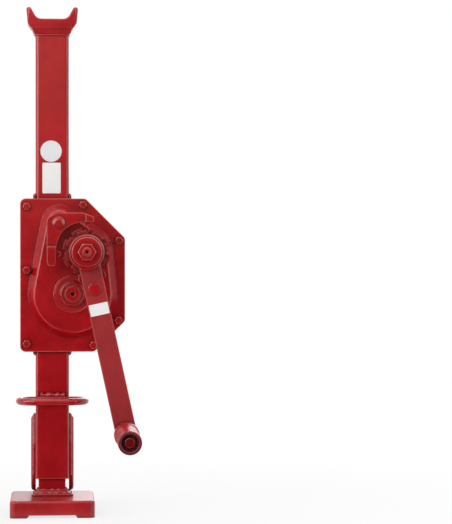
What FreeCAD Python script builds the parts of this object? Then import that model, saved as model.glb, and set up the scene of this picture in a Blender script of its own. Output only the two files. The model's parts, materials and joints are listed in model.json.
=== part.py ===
import FreeCAD, Part
import math
import os

import Sketcher

# Rack and pinion jack, closed. Millimetres and degrees.
# Z is up, the crank side looks along -Y, the origin lies on the floor under the rack's axis.

V = FreeCAD.Vector
doc = FreeCAD.newDocument("rack_jack")
sheet = doc.addObject("Spreadsheet::Sheet", "Sizes")

SIZES = {
    # clearances
    "fit_gap": 0.05,
    "run_gap": 0.05,
    "side_gap": 0.3,
    # shaft tube
    "tube_wide": 48.0,
    "tube_wall": 3.5,
    "rack_play": 0.5,
    "tube_round": 5.0,
    "tube_foot_gap": 24.5,
    "tube_high": 687.0,
    "window_gap": 2.0,
    # rack and its pinion
    "rack_deep": 25.0,
    "rack_back": 19.8,
    "rack_low": 4.5,
    "rack_top_gap": 11.0,
    "rack_module": 4.0,
    "rack_pinion_teeth": 6.0,
    "tooth_angle": 25.0,
    "rack_tip_out": 2.0,
    "rack_pinion_tip_out": 4.4,
    "rack_pinion_share": 0.58,
    "rack_backlash": 0.4,
    "rack_root_gap": 0.6,
    "rack_gaps": 31.0,
    "rack_gaps_below": 2.0,
    "rack_pinion_over": 0.3,
    # foot
    "foot_wide": 120.0,
    "foot_front": 82.0,
    "foot_back": 58.0,
    "foot_thick": 24.5,
    "foot_corner": 9.0,
    "foot_edge": 4.0,
    "foot_pad": 27.0,
    "foot_recess": 4.0,
    "foot_ramp": 3.0,
    "weld_wide": 60.0,
    "weld_deep": 42.0,
    "weld_step": 4.0,
    "weld_top_wide": 48.0,
    "weld_top_deep": 34.0,
    "weld_round": 2.5,
    # head
    "head_out_wide": 13.2,
    "head_out_deep": 7.8,
    "head_plug": 7.0,
    "head_corner": 7.0,
    "head_neck_rise": 9.5,
    "neck_flare": 3.2,
    "ledge_out_wide": 6.6,
    "ledge_out_deep": 4.6,
    "ledge_step": 1.5,
    "ledge_round": 1.2,
    "shelf_rise": 16.5,
    "shelf_in": 2.0,
    "shelf_round": 6.0,
    "saddle_rise": 23.0,
    "horn_rise": 39.5,
    "horn_tip": 6.2,
    "horn_round": 3.3,
    "horn_lean_wide": 9.0,
    "horn_lean_deep": 10.0,
    "saddle_round_wide": 11.0,
    "saddle_round_deep": 9.0,
    "rim_round": 1.5,
    # claw
    "claw_wide": 61.4,
    "claw_tip": 90.5,
    "claw_toe": 62.0,
    "claw_back": 21.6,
    "claw_top": 142.0,
    "claw_top_front": 10.3,
    "claw_cheek_high": 103.0,
    "claw_cheek_front": -5.0,
    "claw_foot_gap": 3.9,
    "claw_belly_end": 36.0,
    "claw_tip_low": 40.4,
    "claw_tip_start": 76.0,
    "claw_plate": 12.0,
    "claw_bend": 15.0,
    "claw_heel": 35.0,
    "claw_edge": 4.2,
    "claw_taper_wide": 5.2,
    "claw_taper_high": 9.0,
    "groove_first": 52.0,
    "groove_pitch": 5.4,
    "groove_deep": 1.8,
    "groove_half": 1.5,
    "groove_count": 7.0,
    # carry ring
    "ring_bar": 10.3,
    "ring_wide": 103.5,
    "ring_deep": 56.5,
    "ring_high": 163.0,
    # gear case and cover
    "case_left_room": 11.5,
    "case_right_room": 11.8,
    "case_crank_room": 17.8,
    "case_low_room": 19.958,
    "case_high_room": 77.0,
    "case_cut_high": 56.7,
    "case_cut_low": 44.0,
    "case_corner": 8.0,
    "flange_wide": 18.5,
    "flange_thick": 6.0,
    "pan_wall": 3.0,
    "pan_corner": 10.0,
    "pan_edge": 3.5,
    "neck_wall": 3.5,
    "neck_over": 5.5,
    "neck_under": 3.5,
    "cover_thick": 4.5,
    "dome_high": 20.0,
    "dome_wall": 3.5,
    "dome_slope": 8.8,
    "dome_edge": 2.5,
    "dome_gear_room": 11.375,
    "dome_r_crank": 38.5,
    "dome_r_pawl": 26.0,
    "dome_pawl_dx": 1.3,
    "dome_pawl_dz": 1.0,
    # cover bolts
    "bolt_thread": 6.0,
    "bolt_flat": 10.0,
    "bolt_head": 5.5,
    "bolt_left": 9.2,
    "bolt_1_down": 11.6,
    "bolt_2_in": 60.4,
    "bolt_2_down": 9.4,
    "bolt_3_in": 8.6,
    "bolt_3_down": 60.5,
    "bolt_4_down": 103.0,
    "bolt_5_in": 9.3,
    "bolt_5_up": 45.0,
    "bolt_6_up": 11.5,
    "bolt_7_in": 45.5,
    "bolt_7_up": 9.4,
    # gear train
    "crank_x": 48.0,
    "crank_z": 375.0,
    "pinion_x": 29.0,
    "gear_module": 2.5,
    "gear_small_teeth": 10.0,
    "gear_big_teeth": 40.0,
    "gear_small_tip_out": 2.75,
    "gear_big_tip_out": 2.125,
    "gear_root_gap": 0.5,
    "gear_backlash": 0.2,
    "gear_gap": 3.0,
    "gear_wide": 15.0,
    "gear_web_inner": 19.0,
    "gear_web_outer": 42.0,
    "gear_web_deep": 3.0,
    # shafts, bushes and bosses
    "crank_shaft_r": 9.3,
    "crank_seat_r": 8.8,
    "crank_stud_r": 6.5,
    "crank_shaft_over": 2.0,
    "crank_bush_wall": 3.2,
    "pinion_shaft_r": 11.5,
    "pinion_seat_r": 12.0,
    "pinion_shaft_short": 0.5,
    "pinion_shaft_over": 1.0,
    "pinion_bush_wall": 3.0,
    "bush_step": 1.5,
    "bush_inset": 2.5,
    "shaft_bevel": 1.0,
    "center_hole": 2.5,
    "crank_boss_wall": 3.95,
    "crank_boss_long": 9.5,
    "crank_boss_front_wall": 13.45,
    "crank_boss_front_long": 4.0,
    "pinion_boss_wall": 2.25,
    "pinion_boss_long": 15.5,
    "pinion_collar_wall": 12.95,
    "pinion_collar_top_wall": 4.45,
    "pinion_collar_long": 6.5,
    "pinion_boss_front_wall": 2.95,
    "pinion_boss_front_long": 7.0,
    "pinion_step_wall": 11.95,
    "pinion_step_long": 1.2,
    "boss_edge": 2.0,
    "key_wide": 6.0,
    "key_high": 6.0,
    "key_in_shaft": 3.4,
    "ring_thick": 1.2,
    "ring_out": 2.6,
    # crank shaft stack, counted from the rack's middle plane toward the crank
    "collar_r": 16.7,
    "collar_gap": 0.5,
    "collar_long": 7.0,
    "shaft_bare": 9.5,
    "hold_wheel_long": 10.0,
    "hold_wheel_tip": 34.0,
    "hold_wheel_root": 28.0,
    "hold_gap_low": 6.6,
    "hold_gap_high": 12.8,
    "hold_wheel_turn": 3.0,
    "wheel_teeth": 8.0,
    "friction_r": 25.7,
    "friction_long": 6.0,
    "drive_wheel_long": 12.0,
    "drive_wheel_tip": 30.6,
    "drive_wheel_root": 25.6,
    "drive_gap_low": 5.5,
    "drive_gap_high": 11.0,
    "hub_r": 24.6,
    "hub_gap": 0.4,
    "hub_long": 20.1,
    "hub_bevel": 2.0,
    "hub_bush_wall": 3.2,
    "end_collar_r": 21.4,
    "end_collar_long": 13.2,
    "nut_flat": 22.7,
    "nut_long": 14.0,
    "stud_over": 3.0,
    # crank arm and grip
    "arm_turn": 12.3,
    "arm_wide": 30.0,
    "arm_step": 2.6,
    "arm_thick": 9.6,
    "arm_reach": 262.0,
    "arm_edge": 1.0,
    "arm_tip_over": 15.5,
    "spindle_r": 6.0,
    "rivet_r": 10.7,
    "rivet_high": 4.2,
    "grip_long": 145.1,
    "grip_recess": 10.0,
    "grip_recess_r": 11.7,
    "grip_head_r": 7.3,
    "grip_head_long": 6.5,
    "grip_collar_r": 17.85,
    "grip_collar_long": 20.6,
    "grip_ridge_r": 16.5,
    "grip_valley_r": 14.0,
    "grip_pitch": 23.5,
    # crank pawl and its detent
    "pawl_reach": 53.0,
    "pawl_step": 2.2,
    "pawl_thick": 10.1,
    "pawl_pin_r": 6.0,
    "pawl_pin_head_r": 9.6,
    "pawl_pin_head": 1.6,
    "pawl_pin_rivet_r": 8.0,
    "pawl_pin_rivet": 1.6,
    "pin_gap": 0.1,
    "pawl_tail": 67.5,
    "detent_r": 8.0,
    "detent_start": 77.5,
    "detent_end": 101.0,
    "detent_bore_r": 4.6,
    "detent_lug": 10.0,
    "plunger_tip": 68.0,
    "plunger_cone_end": 73.2,
    "plunger_flange_end": 75.0,
    "plunger_flange_r": 6.5,
    "plunger_end": 88.0,
    "spring_wire": 0.9,
    "spring_r": 3.3,
    "spring_turns": 5.0,
    "plug_out": 3.0,
    "plug_in": 3.0,
    # holding pawl
    "hold_aside": 39.0,
    "hold_above": 41.0,
    "hold_step": 5.5,
    "hold_pad": 5.0,
    "hold_post_flat": 19.5,
    "hold_post_r": 7.0,
    "hold_bush_wall": 2.4,
    "hold_bolt_r": 9.3,
    "hold_bolt_high": 4.6,
    "hold_bolt_thread": 8.0,
    "hold_bolt_long": 16.0,
}

for row, (name, value) in enumerate(SIZES.items(), 1):
    sheet.set("A%d" % row, name)
    sheet.set("B%d" % row, repr(value))
    sheet.setAlias("B%d" % row, name)
doc.recompute()


class Size:
    """A number together with the expression over the sheet that gives it."""

    def __init__(self, value, text):
        self.value = float(value)
        self.text = text

    def __add__(self, other):
        other = as_size(other)
        return Size(self.value + other.value, "(%s + %s)" % (self.text, other.text))

    def __radd__(self, other):
        return as_size(other) + self

    def __sub__(self, other):
        other = as_size(other)
        return Size(self.value - other.value, "(%s - %s)" % (self.text, other.text))

    def __rsub__(self, other):
        return as_size(other) - self

    def __mul__(self, other):
        other = as_size(other)
        return Size(self.value * other.value, "(%s * %s)" % (self.text, other.text))

    def __rmul__(self, other):
        return as_size(other) * self

    def __truediv__(self, other):
        other = as_size(other)
        return Size(self.value / other.value, "(%s / %s)" % (self.text, other.text))

    def __neg__(self):
        return Size(-self.value, "(0 - %s)" % self.text)


def as_size(number):
    """A plain number as a Size."""
    if isinstance(number, Size):
        return number
    return Size(number, "%.9f" % number)


def root(size):
    """The square root of a Size."""
    return Size(math.sqrt(size.value), "sqrt(%s)" % size.text)


def larger(a, b):
    """The larger of two sizes."""
    return Size(max(a.value, b.value), "max(%s; %s)" % (a.text, b.text))


def tangent(size):
    """The tangent of an angle in degrees."""
    return Size(math.tan(math.radians(size.value)), "tan(%s)" % size.text)


class Sheet:
    """Gives each cell of the sheet by its alias."""

    def __getattr__(self, alias):
        return Size(getattr(sheet, alias), "Sizes." + alias)


S = Sheet()
nodes = []


def front_frame(x=0.0, z=0.0, turn=0.0):
    """The placement of a piece drawn looking at the crank side: x right, y up, z toward the crank."""
    place = FreeCAD.Placement(V(as_size(x).value, 0, as_size(z).value), FreeCAD.Rotation(V(1, 0, 0), 90))
    spin = FreeCAD.Placement(V(0, 0, 0), FreeCAD.Rotation(V(0, 0, 1), as_size(turn).value))
    return place.multiply(spin)


def crank_frame(turn=0.0):
    """The placement of a piece on the crank: y runs along the arm, away from the grip."""
    return front_frame(S.crank_x, S.crank_z, S.arm_turn + turn)


def piece(label):
    """An empty body that becomes one node."""
    made = doc.addObject("PartDesign::Body", label)
    made.Label = label
    nodes.append(made)
    return made


def place(made, placement, x=None, z=None):
    """Puts a finished body in its place, with the sheet's cells behind the position."""
    made.Placement = placement
    if x is not None:
        made.setExpression("Placement.Base.x", as_size(x).text)
        made.setExpression("Placement.Base.z", as_size(z).text)


def sketch(body, name, role="XY_Plane", at=0.0):
    """A sketch on one of the body's own planes, moved along its normal."""
    drawn = body.newObject("Sketcher::SketchObject", body.Label + "_" + name)
    plane = [f for f in body.Origin.OriginFeatures if f.Role == role][0]
    drawn.AttachmentSupport = [(plane, "")]
    drawn.MapMode = "FlatFace"
    at = as_size(at)
    drawn.AttachmentOffset = FreeCAD.Placement(V(0, 0, at.value), FreeCAD.Rotation())
    drawn.setExpression("AttachmentOffset.Base.z", at.text)
    return drawn


def bind(drawn, rules):
    """Adds constraints; each rule is a constraint and the Size behind it, or None."""
    numbers = drawn.addConstraint([rule for rule, size in rules])
    for number, (rule, size) in zip(numbers, rules):
        if size is not None:
            drawn.setExpression("Constraints[%d]" % number, size.text)


def spot(geometry, end, x, y):
    """The two rules that hold a point of a sketch at x, y."""
    return [
        (Sketcher.Constraint("DistanceX", -1, 1, geometry, end, x.value), x),
        (Sketcher.Constraint("DistanceY", -1, 1, geometry, end, y.value), y),
    ]


def loop(drawn, corners):
    """Adds a closed outline, counter-clockwise; a corner is (x, y) or (x, y, rounding)."""
    corners = [tuple(as_size(n) for n in corner) for corner in corners]
    count = len(corners)
    points = [V(c[0].value, c[1].value, 0) for c in corners]
    starts = []
    ends = []
    bends = []
    for i in range(count):
        before = (points[i - 1] - points[i]).normalize()
        after = (points[(i + 1) % count] - points[i]).normalize()
        if len(corners[i]) < 3:
            ends.append(points[i])
            starts.append(points[i])
            bends.append(None)
            continue
        radius = corners[i][2].value
        half = before.getAngle(after) / 2
        reach = radius / math.tan(half)
        middle = points[i] + (before + after).normalize() * (radius / math.sin(half))
        ends.append(points[i] + before * reach)
        starts.append(points[i] + after * reach)
        left = before.cross(after).z < 0
        bends.append((middle, radius, left))
    lines = []
    for i in range(count):
        line = Part.LineSegment(starts[i], ends[(i + 1) % count])
        lines.append(drawn.addGeometry(line, False))
    rules = []
    for i in range(count):
        come = lines[i - 1]
        go = lines[i]
        if bends[i] is None:
            rules.append((Sketcher.Constraint("Coincident", come, 2, go, 1), None))
            rules += spot(go, 1, corners[i][0], corners[i][1])
            continue
        middle, radius, left = bends[i]
        first = ends[i] if left else starts[i]
        last = starts[i] if left else ends[i]
        low = math.atan2(first.y - middle.y, first.x - middle.x)
        high = math.atan2(last.y - middle.y, last.x - middle.x)
        circle = Part.Circle(middle, V(0, 0, 1), radius)
        bend = drawn.addGeometry(Part.ArcOfCircle(circle, low, high), False)
        mark = drawn.addGeometry(Part.Point(points[i]), True)
        rules += spot(mark, 1, corners[i][0], corners[i][1])
        rules.append((Sketcher.Constraint("PointOnObject", mark, 1, come), None))
        rules.append((Sketcher.Constraint("PointOnObject", mark, 1, go), None))
        rules.append((Sketcher.Constraint("Tangent", come, 2, bend, 1 if left else 2), None))
        rules.append((Sketcher.Constraint("Tangent", bend, 2 if left else 1, go, 1), None))
        rules.append((Sketcher.Constraint("Radius", bend, radius), corners[i][2]))
    bind(drawn, rules)


def box(drawn, x0, y0, x1, y1, rounding=None):
    """Adds a rectangle, with rounded corners if a rounding is given."""
    tail = () if rounding is None else (rounding,)
    loop(drawn, [(x0, y0) + tail, (x1, y0) + tail, (x1, y1) + tail, (x0, y1) + tail])


def ring(drawn, x, y, radius):
    """Adds a circle."""
    x, y, radius = as_size(x), as_size(y), as_size(radius)
    circle = Part.Circle(V(x.value, y.value, 0), V(0, 0, 1), radius.value)
    made = drawn.addGeometry(circle, False)
    bind(drawn, spot(made, 3, x, y) + [(Sketcher.Constraint("Radius", made, radius.value), radius)])


def hexagon(drawn, flat):
    """Adds a hexagon with two corners on the x axis, by the width over its flats."""
    corner = flat / math.sqrt(3.0)
    loop(
        drawn,
        [
            (corner, 0.0),
            (corner / 2, flat / 2),
            (-corner / 2, flat / 2),
            (-corner, 0.0),
            (-corner / 2, -flat / 2),
            (corner / 2, -flat / 2),
        ],
    )


def hull(drawn, circles):
    """Adds the outline stretched round circles given counter-clockwise."""
    count = len(circles)
    middles = [V(c[0].value, c[1].value, 0) for c in circles]
    radii = [c[2].value for c in circles]
    outs = []
    for i in range(count):
        j = (i + 1) % count
        way = middles[j] - middles[i]
        lean = (radii[i] - radii[j]) / way.Length
        way.normalize()
        side = V(way.y, -way.x, 0)
        outs.append(way * lean + side * math.sqrt(1 - lean * lean))
    arcs = []
    lines = []
    for i in range(count):
        j = (i + 1) % count
        low = math.atan2(outs[i - 1].y, outs[i - 1].x)
        high = math.atan2(outs[i].y, outs[i].x)
        circle = Part.Circle(middles[i], V(0, 0, 1), radii[i])
        arcs.append(drawn.addGeometry(Part.ArcOfCircle(circle, low, high), False))
        line = Part.LineSegment(middles[i] + outs[i] * radii[i], middles[j] + outs[i] * radii[j])
        lines.append(drawn.addGeometry(line, False))
    rules = []
    for i in range(count):
        j = (i + 1) % count
        rules += spot(arcs[i], 3, circles[i][0], circles[i][1])
        rules.append((Sketcher.Constraint("Radius", arcs[i], radii[i]), circles[i][2]))
        rules.append((Sketcher.Constraint("Tangent", arcs[i], 2, lines[i], 1), None))
        rules.append((Sketcher.Constraint("Tangent", lines[i], 2, arcs[j], 1), None))
    bind(drawn, rules)


def feature(body, kind, drawn, tag):
    """A sketch-based feature of a body."""
    made = body.newObject("PartDesign::" + kind, drawn.Label + "_" + tag)
    made.Profile = drawn
    drawn.Visibility = False
    return made


def pad(body, drawn, length):
    """Adds material from the sketch along its normal."""
    made = feature(body, "Pad", drawn, "pad")
    length = as_size(length)
    made.Length = length.value
    made.setExpression("Length", length.text)
    return made


def pocket(body, drawn, length):
    """Takes material away from the sketch against its normal."""
    made = feature(body, "Pocket", drawn, "cut")
    length = as_size(length)
    made.Length = length.value
    made.setExpression("Length", length.text)
    return made


def turned(label, profile):
    """A body turned round its own z axis from (radius, z) corners."""
    body = piece(label)
    drawn = sketch(body, "profile", "XZ_Plane")
    loop(drawn, profile)
    made = feature(body, "Revolution", drawn, "turn")
    made.ReferenceAxis = (drawn, ["V_Axis"])
    made.Angle = 360.0
    return body


def sleeve(label, inner, outer, low, high):
    """A plain turned sleeve with small bevels at its outer edges."""
    bevel = S.shaft_bevel / 2
    return turned(
        label,
        [
            (inner, low),
            (outer - bevel, low),
            (outer, low + bevel),
            (outer, high - bevel),
            (outer - bevel, high),
            (inner, high),
        ],
    )


def repeat_along(body, original, drawn, axis, step, count):
    """Repeats a feature in a row."""
    made = body.newObject("PartDesign::LinearPattern", original.Label + "_row")
    made.Originals = [original]
    made.Direction = (drawn, [axis])
    span = step * (count - 1)
    made.Length = span.value
    made.setExpression("Length", span.text)
    made.Occurrences = int(round(count.value))
    made.setExpression("Occurrences", count.text)
    body.Tip = made
    return made


def repeat_round(body, original, drawn, count):
    """Repeats a feature round the body's z axis."""
    made = body.newObject("PartDesign::PolarPattern", original.Label + "_round")
    made.Originals = [original]
    made.Axis = (drawn, ["N_Axis"])
    made.Angle = 360.0
    made.Occurrences = int(round(count.value))
    made.setExpression("Occurrences", count.text)
    body.Tip = made
    return made


def edge_names(body, test):
    """The names of the edges of a body, as built so far, that pass a test."""
    doc.recompute()
    return ["Edge%d" % (i + 1) for i, e in enumerate(body.Tip.Shape.Edges) if test(e)]


def soften(body, test, radius, kind="Fillet"):
    """Rounds or bevels the edges that pass a test."""
    names = edge_names(body, test)
    if not names:
        raise ValueError("no edge to soften on " + body.Label)
    base = body.Tip
    made = body.newObject("PartDesign::" + kind, "%s_%s_%d" % (body.Label, kind.lower(), len(body.Group)))
    made.Base = (base, names)
    cell = "Radius" if kind == "Fillet" else "Size"
    setattr(made, cell, radius.value)
    made.setExpression(cell, radius.text)
    return made


def near(a, b):
    """Two lengths that are the same."""
    return abs(a - as_size(b).value) < 0.01


def at_level(level, axis="z"):
    """A test for edges that lie in a plane square to an axis."""
    low = axis.upper() + "Min"
    high = axis.upper() + "Max"
    return lambda e: near(getattr(e.BoundBox, low), level) and near(getattr(e.BoundBox, high), level)


# shared positions
pitch = S.rack_module * math.pi
pinion_pitch_r = S.rack_module * S.rack_pinion_teeth / 2
pinion_tip_r = pinion_pitch_r + S.rack_pinion_tip_out
pitch_line = S.pinion_x - pinion_pitch_r
rack_tip = pitch_line + S.rack_tip_out
rack_root = S.pinion_x - pinion_tip_r - S.rack_root_gap
gear_reach = S.gear_module * (S.gear_small_teeth + S.gear_big_teeth) / 2
pinion_z = S.crank_z - root(gear_reach * gear_reach - (S.crank_x - S.pinion_x) * (S.crank_x - S.pinion_x))
tube_deep = S.rack_deep + (S.rack_play + S.tube_wall) * 2
tube_low = S.foot_thick + S.tube_foot_gap
claw_belly = S.foot_thick + S.claw_foot_gap
plate_back = tube_deep / 2
plate_front = plate_back + S.cover_thick
dome_front = plate_front + S.dome_high
gear_start = plate_back + S.gear_gap
bush_start = dome_front - S.dome_wall - S.bush_step
bush_inner = plate_back - S.bush_inset
pinion_bush_start = gear_start + S.gear_wide + S.ring_thick + S.side_gap
pan_back = -plate_back - S.pan_wall
rack_high = S.tube_high - S.rack_top_gap
head_ledge = S.tube_high + S.head_neck_rise
head_shelf = S.tube_high + S.shelf_rise
head_saddle = S.tube_high + S.saddle_rise
head_top = S.tube_high + S.horn_rise
crank_bush_r = S.crank_shaft_r + S.run_gap + S.crank_bush_wall
pinion_bush_r = S.pinion_shaft_r + S.run_gap + S.pinion_bush_wall
crank_boss_r = crank_bush_r + S.crank_boss_wall
crank_boss_front_r = crank_bush_r + S.crank_boss_front_wall
pinion_boss_r = pinion_bush_r + S.pinion_boss_wall
pinion_collar_r = pinion_bush_r + S.pinion_collar_wall
pinion_collar_top_r = pinion_bush_r + S.pinion_collar_top_wall
pinion_boss_front_r = pinion_bush_r + S.pinion_boss_front_wall
pinion_step_r = pinion_bush_r + S.pinion_step_wall
collar_start = dome_front + S.crank_boss_front_long + S.collar_gap
collar_end = collar_start + S.collar_long
hold_wheel_start = collar_end + S.shaft_bare
hold_wheel_end = hold_wheel_start + S.hold_wheel_long
drive_wheel_start = hold_wheel_end + S.friction_long
drive_wheel_end = drive_wheel_start + S.drive_wheel_long
hub_start = drive_wheel_end + S.hub_gap
hub_end = hub_start + S.hub_long
end_collar_start = hub_end + S.side_gap
end_collar_end = end_collar_start + S.end_collar_long
nut_end = end_collar_end + S.nut_long
crank_shaft_front = nut_end + S.stud_over
arm_start = hub_start + S.arm_step
arm_end = arm_start + S.arm_thick
grip_end = arm_end + S.side_gap + S.grip_long
pawl_start = drive_wheel_start + S.pawl_step
pawl_end = pawl_start + S.pawl_thick
pawl_pin_back = pawl_start - S.pin_gap - S.pawl_pin_rivet
detent_axis = arm_start - S.detent_r
hold_start = hold_wheel_start - S.hold_step
hold_end = hold_wheel_end
hold_pad_end = hold_end + S.hold_pad
dome_r_low = S.gear_module * S.gear_big_teeth / 2 + S.gear_big_tip_out + S.dome_gear_room
hold_x = S.crank_x - S.hold_aside
hold_z = S.crank_z + S.hold_above
case_left = S.pinion_x - dome_r_low - S.case_left_room
case_right = larger(
    S.pinion_x + dome_r_low + S.case_right_room,
    S.crank_x + S.dome_r_crank + S.case_crank_room,
)
case_low = pinion_z - dome_r_low - S.case_low_room
case_high = S.crank_z + S.case_high_room
bolt_spots = [
    (case_left + S.bolt_left, case_high - S.bolt_1_down),
    (case_right - S.bolt_2_in, case_high - S.bolt_2_down),
    (case_right - S.bolt_3_in, case_high - S.bolt_3_down),
    (case_left + S.bolt_left, case_high - S.bolt_4_down),
    (case_right - S.bolt_5_in, case_low + S.bolt_5_up),
    (case_left + S.bolt_left, case_low + S.bolt_6_up),
    (case_right - S.bolt_7_in, case_low + S.bolt_7_up),
]


# foot plate, a thick slab on four corner pads with a socket for the rack
foot = piece("foot_plate")
half_foot = S.foot_wide / 2
drawn = sketch(foot, "outline")
box(drawn, -half_foot, -S.foot_front, half_foot, S.foot_back, S.foot_corner)
pad(foot, drawn, S.foot_thick)
soften(foot, at_level(S.foot_thick), S.foot_edge)
drawn = sketch(foot, "channel_long", at=S.foot_recess)
box(drawn, S.foot_pad - half_foot, -S.foot_front - 1, half_foot - S.foot_pad, S.foot_back + 1)
pocket(foot, drawn, S.foot_recess + 1)
drawn = sketch(foot, "channel_cross", at=S.foot_recess)
box(drawn, -half_foot - 1, S.foot_pad - S.foot_front, half_foot + 1, S.foot_back - S.foot_pad)
pocket(foot, drawn, S.foot_recess + 1)


def pad_side(e):
    """The inner straight edges of the four pads on the floor."""
    b = e.BoundBox
    if not (near(b.ZMin, 0) and near(b.ZMax, 0)):
        return False
    across = near(b.XMin, b.XMax) and near(abs(b.XMin), half_foot - S.foot_pad)
    front = near(b.YMin, S.foot_pad - S.foot_front)
    along = near(b.YMin, b.YMax) and (front or near(b.YMin, S.foot_back - S.foot_pad))
    return across or along


soften(foot, pad_side, S.foot_ramp, "Chamfer")
drawn = sketch(foot, "socket", at=S.foot_thick + 1)
socket = S.rack_deep / 2 + S.fit_gap
box(drawn, -S.rack_back - S.fit_gap, -socket, rack_tip + S.fit_gap, socket)
pocket(foot, drawn, S.foot_thick + 1)

# stepped weld round the rack on the foot
weld = piece("rack_weld")
drawn = sketch(weld, "low", at=S.foot_thick)
box(drawn, -S.weld_wide / 2, -S.weld_deep / 2, S.weld_wide / 2, S.weld_deep / 2, S.weld_step)
pad(weld, drawn, S.weld_step)
soften(weld, at_level(S.foot_thick + S.weld_step), S.weld_round)
drawn = sketch(weld, "high", at=S.foot_thick)
box(drawn, -S.weld_top_wide / 2, -S.weld_top_deep / 2, S.weld_top_wide / 2, S.weld_top_deep / 2, S.weld_step)
pad(weld, drawn, S.weld_step * 2)
soften(weld, at_level(S.foot_thick + S.weld_step * 2), S.weld_round)
drawn = sketch(weld, "socket", at=S.foot_thick + S.weld_step * 2 + 1)
box(drawn, -S.rack_back - S.fit_gap, -socket, rack_tip + S.fit_gap, socket)
pocket(weld, drawn, S.weld_step * 2 + 2)

# rack bar with its teeth on the side of the pinion
rack = piece("rack")
drawn = sketch(rack, "bar", "XZ_Plane", -S.rack_deep / 2)
box(drawn, -S.rack_back, S.rack_low, rack_tip, rack_high)
pad(rack, drawn, S.rack_deep)
drawn = sketch(rack, "gap", "XZ_Plane", S.rack_deep / 2 + 1)
gap_half = (pitch * S.rack_pinion_share + S.rack_backlash) / 2
gap_z = pinion_z - pitch * S.rack_gaps_below
gap_out = gap_half + (S.rack_tip_out + 1) * tangent(S.tooth_angle)
gap_in = gap_half - (pitch_line - rack_root) * tangent(S.tooth_angle)
loop(
    drawn,
    [
        (rack_root, gap_z - gap_in),
        (rack_tip + 1, gap_z - gap_out),
        (rack_tip + 1, gap_z + gap_out),
        (rack_root, gap_z + gap_in),
    ],
)
cut = pocket(rack, drawn, S.rack_deep + 2)
repeat_along(rack, cut, drawn, "V_Axis", pitch, S.rack_gaps)

# shaft tube with the window for the pinion
tube = piece("shaft_tube")
drawn = sketch(tube, "section", at=tube_low)
half_wide = S.tube_wide / 2
half_deep = tube_deep / 2
box(drawn, -half_wide, -half_deep, half_wide, half_deep, S.tube_round)
bore_wide = half_wide - S.tube_wall
bore_deep = half_deep - S.tube_wall
box(drawn, -bore_wide, -bore_deep, bore_wide, bore_deep, S.tube_round - S.tube_wall)
pad(tube, drawn, S.tube_high - tube_low)
drawn = sketch(tube, "window", "XZ_Plane", half_deep + 1)
ring(drawn, S.pinion_x, pinion_z, pinion_tip_r + S.window_gap)
pocket(tube, drawn, tube_deep + 2)

# head with four rounded horns, a crescent seen from the front and from the side
head = piece("horn_head")
drawn = sketch(head, "plug", at=S.tube_high - S.head_plug)
plug_wide = bore_wide - S.fit_gap
plug_deep = bore_deep - S.fit_gap
box(drawn, -plug_wide, -plug_deep, plug_wide, plug_deep, S.tube_round - S.tube_wall)
pad(head, drawn, S.head_plug)
head_x = half_wide + S.head_out_wide
head_y = half_deep + S.head_out_deep


def crescent(half, out, ledge, lean, saddle_round):
    """One half of the head's outline, from the saddle out over a horn and down to the neck."""
    return [
        (out - S.horn_tip - lean, head_saddle, saddle_round),
        (out - S.horn_tip, head_top, S.horn_round),
        (out, head_top, S.horn_round),
        (out - S.shelf_in, head_shelf, S.shelf_round),
        (half + ledge, head_ledge, S.ledge_round),
        (half + ledge - S.ledge_step, head_ledge),
        (half + (ledge - S.ledge_step) * 0.65, S.tube_high + S.neck_flare, 2.0),
        (half, S.tube_high),
    ]


def mirrored(corners):
    """The other half of an outline, in the order that closes it."""
    return [(-c[0],) + c[1:] for c in reversed(corners)]


outline = crescent(half_wide, head_x, S.ledge_out_wide, S.horn_lean_wide, S.saddle_round_wide)
drawn = sketch(head, "front", "XZ_Plane", -head_y)
loop(drawn, (outline + mirrored(outline))[::-1])
pad(head, drawn, head_y * 2)
outline = crescent(half_deep, head_y, S.ledge_out_deep, S.horn_lean_deep, S.saddle_round_deep)
drawn = sketch(head, "side", "YZ_Plane", head_x + 2)
waste = [
    (half_deep, S.tube_high - 1),
    (head_y + 2, S.tube_high - 1),
    (head_y + 2, head_top + 2),
    (-head_y - 2, head_top + 2),
    (-head_y - 2, S.tube_high - 1),
    (-half_deep, S.tube_high - 1),
]
loop(drawn, waste + mirrored(outline) + outline)
pocket(head, drawn, head_x * 2 + 4)
drawn = sketch(head, "corners", at=head_top + 1)
box(drawn, -head_x - 2, -head_y - 2, head_x + 2, head_y + 2)
box(drawn, -head_x, -head_y, head_x, head_y, S.head_corner)
pocket(head, drawn, head_top - head_shelf + 1)


def saddle_rim(e):
    """A test for the lines where the saddle meets the head's four sides."""
    b = e.BoundBox
    ends = near(b.YMin, b.YMax) and abs(b.YMin) > half_deep.value
    sides = near(b.XMin, b.XMax) and abs(b.XMin) > half_wide.value
    return at_level(head_saddle)(e) and (ends or sides)


soften(head, saddle_rim, S.rim_round)

# lifting claw, a channel forging bent round the back of the tube
claw = piece("lifting_claw")
half_claw = S.claw_wide / 2
drawn = sketch(claw, "side", "YZ_Plane", -half_claw)
loop(
    drawn,
    [
        (S.claw_tip, S.claw_tip_low, 5.0),
        (S.claw_tip, S.claw_toe, 7.0),
        (S.claw_back, S.claw_toe, S.claw_bend),
        (S.claw_back, S.claw_top, 6.0),
        (S.claw_top_front, S.claw_top, 3.5),
        (S.claw_cheek_front, S.claw_cheek_high, 14.0),
        (S.claw_cheek_front, claw_belly, S.claw_heel),
        (S.claw_belly_end, claw_belly, 30.0),
        (S.claw_tip_start, S.claw_tip_low, 14.0),
    ],
)
pad(claw, drawn, S.claw_wide)
soften(claw, lambda e: at_level(half_claw, "x")(e) or at_level(-half_claw, "x")(e), S.claw_edge)
channel = half_wide + S.fit_gap
drawn = sketch(claw, "channel", "YZ_Plane", channel)
back_in = half_deep + S.fit_gap
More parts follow.
